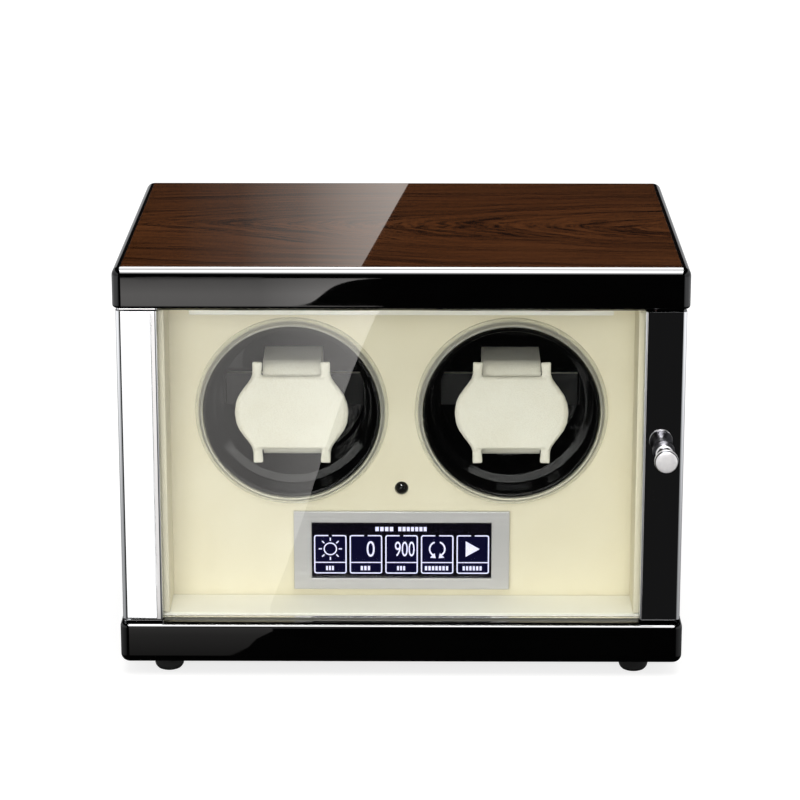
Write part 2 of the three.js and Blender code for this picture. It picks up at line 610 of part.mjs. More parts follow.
function addDrive(side, sign) {
  const place = [sign * CUP_SPACING / 2, 0, CUP_AXIS_Z];
  const named = (name, geometry, look) => add(winder, `${name}_${side}`, geometry, look, place);
  named('cup_ring', ringGeometry(), CLEAR);
  named('cup', cupGeometry(), GLOSS_BLACK);
  named('pillow_pad', pillowPadGeometry(), CREAM_LEATHER);
  named('pillow_loop', pillowLoopGeometry(), CREAM_LEATHER);

  const driveTurn = sign > 0 ? Math.PI - DRIVE_ANGLE : DRIVE_ANGLE;
  const toothed = gearOutline(CUP_TEETH, SHAFT_RADIUS + GAP);
  const cupGear = facing(toothed, GEAR_FRONT, GEAR_FRONT + GEAR_WIDTH);
  named('cup_gear', cupGear.rotateY(-driveTurn), WHITE_NYLON);
  const shaft = turned([[0, GEAR_FRONT + 0.5], [SHAFT_RADIUS, GEAR_FRONT + 0.5], [SHAFT_RADIUS, SHOULDER],
    [11, SHOULDER], [11, SHOULDER + 2], [SHAFT_RADIUS, SHOULDER + 2], [SHAFT_RADIUS, SHAFT_END],
    [0, SHAFT_END]], 20);
  named('cup_shaft', shaft, STEEL);
  const bore = SHAFT_RADIUS + GAP;
  const bush = turned([[bore, PLATE_FRONT - 2.5], [10, PLATE_FRONT - 2.5], [10, PLATE_FRONT - GAP],
    [7, PLATE_FRONT - GAP], [7, PLATE_BACK + 12], [bore, PLATE_BACK + 12],
    [bore, PLATE_FRONT - 2.5]], 20);
  named('shaft_bush', bush, BRASS);
  named('drive_bracket', bracketGeometry(-sign), MATT_BLACK);

  const motorX = place[0] - sign * CENTRE_DISTANCE * Math.cos(DRIVE_ANGLE);
  const motorZ = CUP_AXIS_Z + CENTRE_DISTANCE * Math.sin(DRIVE_ANGLE);
  add(winder, `gear_motor_${side}`, motorGeometry(), STEEL, [motorX, 0, motorZ]);
  const halfTooth = Math.PI / PINION_TEETH;
  const pinion = pinionGeometry().rotateY(-(driveTurn + Math.PI + halfTooth));
  add(winder, `motor_pinion_${side}`, pinion, WHITE_NYLON, [motorX, 0, motorZ]);
}

// ---- Leads inside the case ----
function lead(points, radius) {
  const route = new THREE.CatmullRomCurve3(points.map((p) => new THREE.Vector3(...p)));
  const corners = [];
  for (let corner = 0; corner < 8; corner += 1) {
    corners.push(polar(radius, corner * Math.PI / 4));
  }
  const section = new THREE.Shape(corners);
  return new THREE.ExtrudeGeometry(section, {
    steps: 18,
    bevelEnabled: false,
    extrudePath: route,
    curveSegments: 1,
  });
}

function addLeads() {
  const boardBack = PANEL_BACK + 10;
  const insulation = { color: 0x111111, roughness: 0.6, metalness: 0 };
  const motorX = CUP_SPACING / 2 - CENTRE_DISTANCE * Math.cos(DRIVE_ANGLE);
  const motorZ = CUP_AXIS_Z + CENTRE_DISTANCE * Math.sin(DRIVE_ANGLE);
  const motorBack = PLATE_BACK + 38.3;
  for (const [side, sign] of [['left', -1], ['right', 1]]) {
    const route = [
      [sign * motorX, motorBack, motorZ],
      [sign * motorX, motorBack + 8, motorZ - 3],
      [sign * 20, motorBack + 12, motorZ - 20],
      [sign * 8, motorBack - 4, motorZ - 34],
      [sign * 6, PLATE_BACK, DISPLAY_Z + 3],
      [sign * 8, boardBack + 22, DISPLAY_Z + 2],
      [sign * 13, boardBack + 7, DISPLAY_Z],
      [sign * 13, boardBack - 0.2, DISPLAY_Z],
    ];
    add(winder, `motor_lead_${side}`, lead(route, 1.5), insulation);
  }
  const inletFront = BACK_PANEL[0] - 7 - GAP;
  const powerRoute = [
    [INLET_X, inletFront, INLET_Z],
    [INLET_X, inletFront - 8, INLET_Z - 1],
    [INLET_X, inletFront - 22, INLET_Z - 10],
    [INLET_X, PLATE_BACK + 20, DISPLAY_Z - 18],
    [INLET_X, PLATE_FRONT - 10, DISPLAY_Z - 18],
    [INLET_X, boardBack + 10, DISPLAY_Z - 15.5],
    [INLET_X, boardBack + 4, DISPLAY_Z - 14],
    [INLET_X, boardBack - 1.2, DISPLAY_Z - 14],
  ];
  add(winder, 'power_lead', lead(powerRoute, 1.8), insulation);
}

addLid();
addBaseAndFeet();
addSideWalls();
addBackPanel();
addPowerInlet();
addFrontPanel();
addLiners();
addDisplay();
addDoor();
addDrive('left', -1);
addDrive('right', 1);
addLeads();

export default winder;
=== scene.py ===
# %% [markdown]
# # A watch winder box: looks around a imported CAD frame
# The box turns self-winding watches so that they keep running. A black lacquer
# case with a walnut top holds two turning cups behind a glass door. The CAD frame
# gives every size; this notebook gives each part its fine shape and its finish.

# %% Load the frame
import json
import math

import bmesh
import bpy
from mathutils import Matrix, Vector
from mathutils.geometry import interpolate_bezier


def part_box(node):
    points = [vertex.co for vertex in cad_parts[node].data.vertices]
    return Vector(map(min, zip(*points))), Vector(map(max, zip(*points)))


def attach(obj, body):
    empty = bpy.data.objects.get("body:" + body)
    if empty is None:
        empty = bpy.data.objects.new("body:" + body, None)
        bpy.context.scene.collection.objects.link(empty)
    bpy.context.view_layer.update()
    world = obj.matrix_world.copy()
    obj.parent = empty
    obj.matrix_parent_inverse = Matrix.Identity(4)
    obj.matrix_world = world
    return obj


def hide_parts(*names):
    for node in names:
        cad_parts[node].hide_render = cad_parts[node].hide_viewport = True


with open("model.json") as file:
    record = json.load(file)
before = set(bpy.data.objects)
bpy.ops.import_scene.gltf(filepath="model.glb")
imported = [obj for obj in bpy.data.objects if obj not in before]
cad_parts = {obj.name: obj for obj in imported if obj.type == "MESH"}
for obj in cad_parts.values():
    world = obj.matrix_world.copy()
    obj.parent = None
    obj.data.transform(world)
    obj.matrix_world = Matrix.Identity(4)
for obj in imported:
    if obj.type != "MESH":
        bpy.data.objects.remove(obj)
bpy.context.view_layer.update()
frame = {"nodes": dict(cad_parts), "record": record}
scene = bpy.context.scene
MM = 0.001

# %% [markdown]
# ## Camera
# A long lens looks slightly down at the front, as in a catalogue picture: the
# sides stay almost parallel, while the top is seen at a shallow angle. A short
# lens nearer to the box would spread the front and shrink the back.

# %% Camera
LOOKS_DOWN, LOOKS_LEFT = 15.694, 0.409
lens = bpy.data.cameras.new("catalogue_camera")
lens.lens = 138.25
lens.sensor_width = 36
camera = bpy.data.objects.new("catalogue_camera", lens)
camera.location = (0.0094, -1.4803, 0.5289)
camera.rotation_euler = (math.radians(90 - LOOKS_DOWN), 0, math.radians(LOOKS_LEFT))
scene.collection.objects.link(camera)
scene.camera = camera
scene.view_settings.view_transform = "Standard"
print("camera", round(camera.location.length, 3), "m from the middle of the footprint")

# %% [markdown]
# ## Node tools
# The world, the cards and every finish are node trees. A small function lays down
# a node and links it, which keeps each tree short enough to read.

# %% Node tools


def new_node(tree, kind, values=(), **settings):
    """A node with its settings, and with its inputs set to numbers or linked to sockets."""
    node = tree.nodes.new(kind)
    for key, value in settings.items():
        setattr(node, key, value)
    for key, value in dict(values).items():
        if isinstance(value, bpy.types.NodeSocket):
            tree.links.new(value, node.inputs[key])
        else:
            node.inputs[key].default_value = value
    return node


def calculated(tree, operation, first, second=0.0, clamp=False):
    """The output of a Math node."""
    node = new_node(tree, "ShaderNodeMath", {0: first, 1: second}, operation=operation)
    node.use_clamp = clamp
    return node.outputs[0]


def total(tree, first, second, clamp=False):
    """The sum of two values."""
    return calculated(tree, "ADD", first, second, clamp)


def product(tree, first, second):
    """The product of two values."""
    return calculated(tree, "MULTIPLY", first, second)


def ranged(tree, value, low, high, to_low=0.0, to_high=1.0):
    """A Map Range node, clamped."""
    values = {"Value": value, "From Min": low, "From Max": high, "To Min": to_low, "To Max": to_high}
    return new_node(tree, "ShaderNodeMapRange", values).outputs[0]


def mixed(tree, factor, first, second):
    """A Mix Shader node's output."""
    return new_node(tree, "ShaderNodeMixShader", {0: factor, 1: first, 2: second}).outputs[0]


def object_place(tree):
    """The place on the object, in metres, as a Texture Coordinate node gives it."""
    return new_node(tree, "ShaderNodeTexCoord").outputs["Object"]


# %% [markdown]
# ## World and floor
# Gloss shows whatever stands around it. A studio keeps the room dark and puts
# white cards where a reflection is wanted. So the world has three strengths, and
# the way a ray has travelled picks one: white where it is seen directly, half as
# strong where it lights a dull surface, and almost black to a mirrored ray. The
# floor glows only for a ray that has met no dull surface, and it is clear to a
# mirrored one. So it never shows in the lacquer, and a card may hang below it.

# %% World and floor


def reflected(tree, rays):
    """1 for a ray that has been mirrored on its way from the camera, however often."""
    return calculated(tree, "MINIMUM", rays.outputs["Glossy Depth"], 1.0)


def unscattered(tree, rays):
    """1 for a ray that has met no dull surface on its way from the camera."""
    return calculated(tree, "LESS_THAN", rays.outputs["Diffuse Depth"], 0.5)


def background(tree, colour, strength):
    """A Background node's output."""
    values = {"Color": (*colour, 1), "Strength": strength}
    return new_node(tree, "ShaderNodeBackground", values).outputs[0]


world = bpy.data.worlds.new("white_studio")
scene.world = world
world.use_nodes = True
world.cycles.sampling_method = "NONE"
tree = world.node_tree
tree.nodes.clear()
rays = new_node(tree, "ShaderNodeLightPath")
seen = background(tree, (1.0, 1.0, 1.0), 1.0)
lit = background(tree, (1.0, 0.99, 0.975), 0.5)
mirrored = background(tree, (0.98, 0.98, 1.0), 0.009)
direct = mixed(tree, unscattered(tree, rays), lit, seen)
whole = mixed(tree, reflected(tree, rays), direct, mirrored)
new_node(tree, "ShaderNodeOutputWorld", {"Surface": whole})


def stage_piece(name, corners, look):
    """A flat sheet through the given corners."""
    bm = bmesh.new()
    bm.faces.new([bm.verts.new(corner) for corner in corners])
    mesh = bpy.data.meshes.new(name)
    bm.to_mesh(mesh)
    bm.free()
    mesh.materials.append(look)
    sheet = bpy.data.objects.new(name, mesh)
    scene.collection.objects.link(sheet)
    return sheet


floor_paint = bpy.data.materials.new("floor_paint")
floor_paint.use_nodes = True
floor_paint.cycles.emission_sampling = "NONE"
tree = floor_paint.node_tree
paint = tree.nodes["Principled BSDF"]
paint.inputs["Base Color"].default_value = (0.4, 0.4, 0.4, 1)
paint.inputs["Roughness"].default_value = 1.0
paint.inputs["Specular IOR Level"].default_value = 0.0
paint.inputs["Emission Color"].default_value = (0.78, 0.78, 0.78, 1)
rays = new_node(tree, "ShaderNodeLightPath")
tree.links.new(unscattered(tree, rays), paint.inputs["Emission Strength"])
clear_air = new_node(tree, "ShaderNodeBsdfTransparent")
look = mixed(tree, reflected(tree, rays), paint.outputs[0], clear_air.outputs[0])
tree.links.new(look, tree.nodes["Material Output"].inputs["Surface"])
REACH = 12
floor = stage_piece(
    "floor",
    [(-REACH, -REACH, 0), (REACH, -REACH, 0), (REACH, REACH, 0), (-REACH, REACH, 0)],
    floor_paint,
)
floor.visible_shadow = False
print("floor", 2 * REACH, "m across")

# %% [markdown]
# ## Soft lights
# Area lights give the soft light of a studio. They stay out of reflections, so
# that brightness and gloss can be set one without the other.

# %% Soft lights


def soft_light(name, place, target, size, watts, colour=(1, 1, 1)):
    """A square area light at place that faces target."""
    lamp = bpy.data.lights.new(name, "AREA")
    lamp.shape = "SQUARE"
    lamp.size = size
    lamp.energy = watts
    lamp.color = colour
    holder = bpy.data.objects.new(name, lamp)
    holder.location = place
    aim = Vector(target) - Vector(place)
    holder.rotation_euler = aim.to_track_quat("-Z", "Y").to_euler()
    holder.visible_glossy = False
    holder.visible_camera = False
    scene.collection.objects.link(holder)


MIDDLE = (0, 0, 0.1)
WARM = (1.0, 0.985, 0.96)
soft_light("softbox_high_front", (0, -0.85, 2.2), MIDDLE, 1.5, 23, WARM)
soft_light("softbox_front", (-0.25, -2.2, 0.5), MIDDLE, 1.4, 17.5, WARM)
soft_light("softbox_behind", (0.3, 2.2, 1.2), MIDDLE, 1.6, 14)

# %% [markdown]
# ## Cards for the reflections
# A flat mirror shows one patch of the room, so a card with a cut edge draws that
# edge on the glass and the lacquer. A lamp could not: its glow has one shape and
# lights everything. These cards light nothing, because only a mirrored ray meets
# them. Two stand in front, for the glass and the left stile, one behind for the
# lid, one overhead for rounded edges, and dim ones at the sides and the back.

# %% Cards for the reflections


def emitter(name, colour, strength):
    """A glow that only reflections seen by the camera meet, and its emission node."""
    glow = bpy.data.materials.new(name)
    glow.use_nodes = True
    glow.cycles.emission_sampling = "NONE"
    tree = glow.node_tree
    tree.nodes.clear()
    light = new_node(tree, "ShaderNodeEmission", {"Color": (*colour, 1), "Strength": strength})
    clear_air = new_node(tree, "ShaderNodeBsdfTransparent")
    rays = new_node(tree, "ShaderNodeLightPath")
    shown = product(tree, reflected(tree, rays), unscattered(tree, rays))
    look = mixed(tree, shown, clear_air.outputs[0], light.outputs[0])
    new_node(tree, "ShaderNodeOutputMaterial", {"Surface": look})
    return glow, light


def card(name, corners, colour, strength, along, stops, brighter_right=None):
    """A card that only mirrored rays see. stops grade its strength along an axis.

    brighter_right holds two places on X and the share of the strength at each.
    """
    look, light = emitter(name, colour, strength)
    tree = look.node_tree
    axes = new_node(tree, "ShaderNodeSeparateXYZ", {0: object_place(tree)}).outputs
    start, end = stops[0][0], stops[-1][0]
    ramp = new_node(tree, "ShaderNodeValToRGB", {0: ranged(tree, axes[along], start, end)})
    steps = ramp.color_ramp.elements
    steps.remove(steps[0])
    for place, level in stops[:-1]:
        steps.new((place - start) / (end - start)).color = (level, level, level, 1)
    last = stops[-1][1]
    steps[-1].color = (last, last, last, 1)
    full = strength
    if brighter_right is not None:
        full = product(tree, ranged(tree, axes["X"], *brighter_right), strength)
    tree.links.new(product(tree, ramp.outputs["Color"], full), light.inputs["Strength"])
    sheet = stage_piece(name, corners, look)
    sheet.visible_camera = False
    sheet.visible_shadow = False


# %% Cards in front
# The outline is across and up, in metres: a band at the top that ends in a soft
# step, a wide field with a leaning edge below it, and at the left a gap for the
# card that the stile shows. The step and the leaning edge are one curve each.
FRONT_CARD_Y = -1.0


def bent(start, first_handle, second_handle, end, steps=16):
    """The points of a cubic curve, for a round stretch of an outline."""
    corners = (start, first_handle, second_handle, end)
    return interpolate_bezier(*[Vector((x, z, 0)) for x, z in corners], steps)


soft_step = bent((-0.020, -0.010), (-0.078, -0.010), (-0.058, -0.045), (-0.092, -0.045))
leaning_edge = bent((-0.026, -0.053), (-0.062, -0.132), (-0.077, -0.210), (-0.111, -0.292))
FRONT_OUTLINE = [
    (-0.245, -0.010), *[(x, z) for x, z, _ in soft_step],
    (-0.020, -0.0453), *[(x, z) for x, z, _ in leaning_edge],
    (-0.108, -0.304), (-0.121, -0.315), (-0.128, -0.327), (-0.150, -0.345), (-0.245, -0.352),
    (-0.245, -0.300), (-0.198, -0.300), (-0.198, -0.048), (-0.245, -0.048),
]
card(
    "front_card",
    [(x, FRONT_CARD_Y, z) for x, z in FRONT_OUTLINE],
    (1.0, 0.97, 0.95),
    2.7,
    "Z",
    [(-0.352, 0.05), (-0.310, 0.17), (-0.288, 0.35), (-0.05, 0.49), (-0.0445, 0.93),
     (-0.03, 0.96), (-0.01, 0.6)],
    brighter_right=(-0.115, -0.025, 0.88, 1.9),
)
card(
    "stile_card",
    [(-0.245, FRONT_CARD_Y, -0.299), (-0.1985, FRONT_CARD_Y, -0.299),
     (-0.1985, FRONT_CARD_Y, -0.0485), (-0.245, FRONT_CARD_Y, -0.0485)],
    (1.0, 1.0, 1.0),
    1.25,
    "Z",
    [(-0.299, 1.05), (-0.18, 1.0), (-0.0485, 1.0)],
)

# %% Cards behind, overhead and around
TOP_CARD_Y = 2.0
card(
    "lid_card",
    [(-0.345, TOP_CARD_Y, 0.700), (-0.065, TOP_CARD_Y, 0.700), (-0.001, TOP_CARD_Y, 0.585),
     (-0.300, TOP_CARD_Y, 0.585)],
    (1.0, 0.94, 0.88),
    0.9,
    "X",
    [(-0.345, 0.0), (-0.27, 0.02), (-0.20, 0.09), (-0.13, 0.32), (-0.07, 0.72), (-0.02, 1.0),
     (0.0, 1.0)],
)
OVERHEAD_Z = 3.0
card(
    "overhead_card",
    [(-0.9, -5.4, OVERHEAD_Z), (0.9, -5.4, OVERHEAD_Z), (0.9, 4.2, OVERHEAD_Z),
     (-0.9, 4.2, OVERHEAD_Z)],
    (1, 1, 1),
    36,
    "Y",
    [(-5.4, 0.02), (-3.6, 0.12), (-2.4, 0.5), (-1.4, 1.0), (-0.45, 1.0), (-0.32, 0.2),
     (0.32, 0.2), (0.45, 0.42), (4.2, 0.36)],
)
COOL = (0.97, 0.98, 1.0)
for side, x in (("left", -1.7), ("right", 1.7)):
    card(
        f"side_card_{side}",
        [(x, -2.4, -0.9), (x, 2.4, -0.9), (x, 2.4, 1.3), (x, -2.4, 1.3)],
        COOL,
        1.1,
        "Z",
        [(-0.9, 0.1), (-0.45, 0.4), (-0.25, 1.0), (0.2, 0.5), (1.3, 0.9)],
    )
card(
    "back_card",
    [(-3.6, 2.4, -1.0), (3.6, 2.4, -1.0), (3.6, 2.4, 0.42), (-3.6, 2.4, 0.42)],
    COOL,
    0.8,
    "X",
    [(-3.6, 0.1), (-2.4, 1.0), (-1.2, 0.3), (-0.1, 1.0), (0.1, 0.85), (1.2, 0.3), (2.4, 1.0),
     (3.6, 0.1)],
)

# %% [markdown]
# ## Shared effects
# Handled gloss carries faint smudges and hair scratches; leatherette has a
# pebbled skin; moulded plastic has a fine spark texture; brushed metal is
# scored along one direction. Each is a node group with named inputs and outputs,
# placed in each finish with that finish's own values. All four read Object
# coordinates, in metres, so their scale is the real one.

# %% Pattern tools


def noise(tree, vector, scale, detail=3.0, roughness=0.5):
    """The value of a Noise texture."""
    values = {"Vector": vector, "Scale": scale, "Detail": detail, "Roughness": roughness}
    return new_node(tree, "ShaderNodeTexNoise", values).outputs["Fac"]


def stretched(tree, vector, scale):
    """A Mapping node that stretches a pattern."""
    return new_node(tree, "ShaderNodeMapping", {"Vector": vector, "Scale": scale}).outputs[0]


def blended(tree, factor, first, second):
    """A mix of two colours."""
    node = new_node(tree, "ShaderNodeMix", data_type="RGBA")
    for socket, value in ((0, factor), (6, first), (7, second)):
        if isinstance(value, bpy.types.NodeSocket):
            tree.links.new(value, node.inputs[socket])
        else:
            node.inputs[socket].default_value = value if socket == 0 else (*value, 1)
    return node.outputs[2]


def effect(name, inputs, outputs):
    """An empty node group with named float inputs and outputs, and its two end nodes."""
    group = bpy.data.node_groups.new(name, "ShaderNodeTree")
    for title, start in inputs:
        socket = group.interface.new_socket(title, in_out="INPUT", socket_type="NodeSocketFloat")
        socket.default_value = start
    for title in outputs:
        group.interface.new_socket(title, in_out="OUTPUT", socket_type="NodeSocketFloat")
    return group, group.nodes.new("NodeGroupInput"), group.nodes.new("NodeGroupOutput")


def between(group, into, mask, low, high):
    """A value that goes from one named input of a group to another, as mask goes from 0 to 1."""
    gap = calculated(group, "SUBTRACT", into.outputs[high], into.outputs[low])
    return total(group, product(group, mask, gap), into.outputs[low])


def placed(tree, group, **values):
    """A group node with its named inputs set."""
    node = new_node(tree, "ShaderNodeGroup", node_tree=group)
    for key, value in values.items():
        node.inputs[key].default_value = value
    return node


# %% Polish marks and fine texture
group, into, outof = effect(
    "polish_marks", [("Smooth", 0.04), ("Smudged", 0.12)], ["Roughness", "Height"]
)
where = object_place(group)
patch = ranged(group, noise(group, where, 28.0, 4.0, 0.6), 0.46, 0.72)
hair = noise(group, stretched(group, where, (900, 70, 900)), 1.0, 2.0)
worn = total(group, patch, ranged(group, hair, 0.66, 0.74, 0.0, 0.35), clamp=True)
group.links.new(between(group, into, worn, "Smooth", "Smudged"), outof.inputs["Roughness"])
group.links.new(noise(group, where, 60.0, 1.0), outof.inputs["Height"])
polish_marks = group

group, into, outof = effect(
    "moulded_skin", [("Scale", 1500.0), ("Roughest", 0.7), ("Smoothest", 0.5)],
    ["Roughness", "Height"],
)
where = object_place(group)
blotch = noise(group, where, 40.0, 2.0)
spark = noise(group, where, into.outputs["Scale"], 3.0, 0.6)
group.links.new(between(group, into, blotch, "Smoothest", "Roughest"), outof.inputs["Roughness"])
group.links.new(spark, outof.inputs["Height"])
moulded_skin = group

# %% Leather grain and brushed lines
group, into, outof = effect(
    "leather_grain", [("Scale", 900.0)], ["Height", "Crease", "Mottle"]
)
where = object_place(group)
values = {"Vector": where, "Scale": into.outputs["Scale"], "Randomness": 1.0}
skin_cells = new_node(group, "ShaderNodeTexVoronoi", values, feature="DISTANCE_TO_EDGE")
pebble = ranged(group, skin_cells.outputs["Distance"], 0.0, 0.16)
fine = product(group, noise(group, where, 3500.0, 2.0), 0.3)
group.links.new(total(group, fine, pebble), outof.inputs["Height"])
# The crease mask marks the grooves between the pebbles, where the leatherettes get painted shade.
group.links.new(calculated(group, "SUBTRACT", 1.0, pebble), outof.inputs["Crease"])
group.links.new(noise(group, where, 45.0, 3.0), outof.inputs["Mottle"])
leather_grain = group

group, into, outof = effect(
    "brushed_lines", [("Roughest", 0.42), ("Smoothest", 0.28)], ["Roughness", "Height", "Streak"]
)
line = noise(group, stretched(group, object_place(group), (12, 2200, 2200)), 1.0, 4.0, 0.65)
group.links.new(between(group, into, line, "Smoothest", "Roughest"), outof.inputs["Roughness"])
group.links.new(line, outof.inputs["Height"])
group.links.new(line, outof.inputs["Streak"])
brushed_lines = group
print("effects", [group.name for group in bpy.data.node_groups])

# %% [markdown]
# ## Finishes
# Every finish starts from the Principled shader. Its plain numbers are set on its
# own sockets, and only what changes over the surface is linked to it. Two kinds
# come up again and again: a polished skin with marks, and a fine-grained skin.

# %% Finish tools


def finish(name, colour, **plain):
    """A material whose Principled shader has these plain values, with its tree and shader."""
    look = bpy.data.materials.new(name)
    look.use_nodes = True
    shader = look.node_tree.nodes["Principled BSDF"]
    shader.inputs["Base Color"].default_value = (*colour, 1)
    for key, value in plain.items():
        shader.inputs[key.replace("_", " ")].default_value = value
    return look, look.node_tree, shader


def bump(tree, shader, height, distance, strength):
    """A Bump node from height to the shader's Normal. distance is in metres."""
    values = {"Height": height, "Distance": distance, "Strength": strength}
    node = new_node(tree, "ShaderNodeBump", values)
    tree.links.new(node.outputs[0], shader.inputs["Normal"])


def colour_patches(tree, shader, colour, darker, scale):
    """A base colour that drifts gently towards a darker one."""
    drift = ranged(tree, noise(tree, object_place(tree), scale, 3.0), 0.35, 0.65)
    tree.links.new(blended(tree, drift, colour, darker), shader.inputs["Base Color"])


def polished(name, colour, smooth, smudged, depth, strength, patches=None, **plain):
    """A glossy finish with smudges and hair scratches. patches are a darker colour and a scale."""
    look, tree, shader = finish(name, colour, **plain)
    marks = placed(tree, polish_marks, Smooth=smooth, Smudged=smudged)
    tree.links.new(marks.outputs["Roughness"], shader.inputs["Roughness"])
    bump(tree, shader, marks.outputs["Height"], depth, strength)
    if patches is not None:
        colour_patches(tree, shader, colour, *patches)
    return look


def grained(name, colour, darker, scale, smoothest, roughest, depth, strength=0.7, patch=60.0, **plain):
    """A moulded, painted or plated finish with a fine skin texture."""
    look, tree, shader = finish(name, colour, **plain)
    skin = placed(tree, moulded_skin, Scale=scale, Roughest=roughest, Smoothest=smoothest)
    tree.links.new(skin.outputs["Roughness"], shader.inputs["Roughness"])
    bump(tree, shader, skin.outputs["Height"], depth, strength)
    colour_patches(tree, shader, colour, darker, patch)
    return look


# %% [markdown]
# ### Black piano lacquer
# Polished polyester over board is near-black and mirror-sharp. The base gives
# back almost no light, so one sharp reflection is all that shows, and a separate
# clear coat would only double it.

# %% Black piano lacquer
black_lacquer = polished(
    "black_lacquer", (0.0003, 0.0003, 0.0003), 0.012, 0.05, 0.000004, 0.6,
    ((0.0006, 0.0006, 0.0006), 35.0), IOR=1.52,
)
print("lacquer", len(black_lacquer.node_tree.nodes), "nodes")

# %% [markdown]
# ### Walnut veneer
# Crown-cut walnut shows nested arches: each growth ring is a long parabola with
# its tip on the middle line. The place along the board, less an amount that grows
# away from the middle line, is level along such arches. Noise read on that value
# at three scales gives wide bands, growth rings and thin lines, while the fibre
# and the short dark pores follow the board itself. The coat is the clear lacquer.

# %% Walnut veneer
walnut_veneer, tree, shader = finish(
    "walnut_veneer", (0.05, 0.018, 0.007), Roughness=0.5, Specular_IOR_Level=0.0,
    Coat_Weight=1.0, Coat_Roughness=0.012, Coat_IOR=1.5,
)
where = object_place(tree)
axes = new_node(tree, "ShaderNodeSeparateXYZ", {0: where}).outputs
sway = noise(tree, stretched(tree, where, (7, 10, 1)), 1.0, 2.0)
sway = product(tree, calculated(tree, "SUBTRACT", sway, 0.5), 0.045)
across = total(tree, axes["Y"], sway)
arch = product(tree, product(tree, across, across), 62.0)
arch = total(tree, arch, product(tree, calculated(tree, "ABSOLUTE", across), 0.7))
ripple = product(tree, noise(tree, stretched(tree, where, (16, 110, 1)), 1.0, 3.0), 0.026)
ring_place = total(tree, calculated(tree, "SUBTRACT", axes["X"], arch), ripple)
ring_axes = {0: ring_place, 1: product(tree, across, 0.25)}
ring_line = new_node(tree, "ShaderNodeCombineXYZ", ring_axes).outputs[0]
bands = noise(tree, ring_line, 34.0, 1.0)
growth = noise(tree, ring_line, 180.0, 3.0, 0.62)
thin = noise(tree, ring_line, 560.0, 2.0)
fibre = noise(tree, stretched(tree, where, (14, 900, 1)), 1.0, 4.0, 0.7)
dark = 0.0
for pattern, low, high, share in (
    (growth, 0.45, 0.60, 0.5), (bands, 0.42, 0.62, 0.3),
    (thin, 0.48, 0.62, 0.3), (fibre, 0.4, 0.6, 0.35),
):
    dark = total(tree, dark, product(tree, ranged(tree, pattern, low, high), share))
wood = blended(tree, ranged(tree, dark, 0.25, 1.0), (0.124, 0.0425, 0.0135), (0.013, 0.004, 0.0015))
pore = ranged(tree, noise(tree, stretched(tree, where, (120, 3000, 1)), 1.0, 2.0, 0.6), 0.58, 0.68)
pored = blended(tree, product(tree, pore, 0.5), wood, (0.012, 0.0034, 0.0013))
tree.links.new(pored, shader.inputs["Base Color"])
bump(tree, shader, fibre, 0.00001, 0.3)
print("walnut", len(tree.nodes), "nodes")

# %% [markdown]
# ### Cream board and leatherette
# The compartment is lined with smooth cream leatherette on board. Its floor gets a
# paler copy of the same board: painted light, for the floor lies in more light. The
# pillows are padded with the same skin, softer and more grained. All of them get
# painted shade in the grooves of their grain.

# %% Cream board and leatherette
CREAM = (0.80, 0.755, 0.59)
# A paler cream, painted light for the floor lining.
LIT_CREAM = (0.90, 0.89, 0.80)
PALE_SKIN = (0.86, 0.85, 0.755)


def leatherette(name, colour, aged, crease_shade_colour, share, scale, depth, strength, **plain):
    """A leatherette that drifts towards an aged colour, with a share of a darker colour painted into
    its creases as shade.
    """
    look, tree, shader = finish(name, colour, **plain)
    grain = placed(tree, leather_grain, Scale=scale)
    drift = ranged(tree, grain.outputs["Mottle"], 0.3, 0.7)
    base = blended(tree, drift, colour, aged)
    # Painted shade: the creases take a share of the darker colour.
    crease_shade = product(tree, grain.outputs["Crease"], share)
    tree.links.new(blended(tree, crease_shade, base, crease_shade_colour), shader.inputs["Base Color"])
    bump(tree, shader, grain.outputs["Height"], depth, strength)
    return look, tree, shader, grain


def lining_board(name, colour, aged):
    """Thin leatherette laid flat on board."""
    values = {"Roughness": 0.6, "Specular_IOR_Level": 0.12}
    # The darker colour is painted shade for the creases of the grain.
    crease_shade_colour = (0.55, 0.5, 0.36)
    return leatherette(name, colour, aged, crease_shade_colour, 0.12, 1300.0, 0.00003, 0.5, **values)[0]


cream_board = lining_board("cream_board", CREAM, (0.775, 0.725, 0.555))
# Painted light: a paler copy of the cream board for the floor lining.
lit_cream_board = lining_board("lit_cream_board", LIT_CREAM, (0.88, 0.86, 0.765))
# The pillow skin; its third colour is painted shade for the creases of its grain.
cream_leather, tree, shader, grain = leatherette(
    "cream_leather", PALE_SKIN, (0.82, 0.80, 0.69), (0.62, 0.57, 0.43), 0.3, 1000.0, 0.00007, 0.8,
    Roughness=0.5, Specular_IOR_Level=0.2, Sheen_Weight=0.05,
)
rough = ranged(tree, grain.outputs["Height"], 0.0, 1.2, 0.55, 0.38)
tree.links.new(rough, shader.inputs["Roughness"])
print("leatherettes", cream_board.name, lit_cream_board.name, cream_leather.name)

# %% [markdown]
# ### Metals
# The stiles are mirror chrome with hair scratches. The knob adds two painted finishes
# to it: a bright chrome for painted highlights and a near-black one for painted dark
# reflection. The display frame is brushed along its length under a clear anodised
# skin. That skin, like the bright chrome, scatters some light, so both are only
# partly metallic here. Screws are nickel-plated, and the bushes are bronze.

# %% Metals
polished_chrome = polished(
    "polished_chrome", (0.86, 0.865, 0.875), 0.008, 0.05, 0.000002, 0.5, Metallic=1.0
)
# Painted highlight: a bright, partly dull chrome for the knob's face and bands.
painted_highlight_chrome = grained(
    "painted_highlight_chrome", (0.93, 0.92, 0.93), (0.85, 0.84, 0.86), 2600.0, 0.3, 0.5, 0.00001, 0.4, 400.0,
    Metallic=0.25,
)
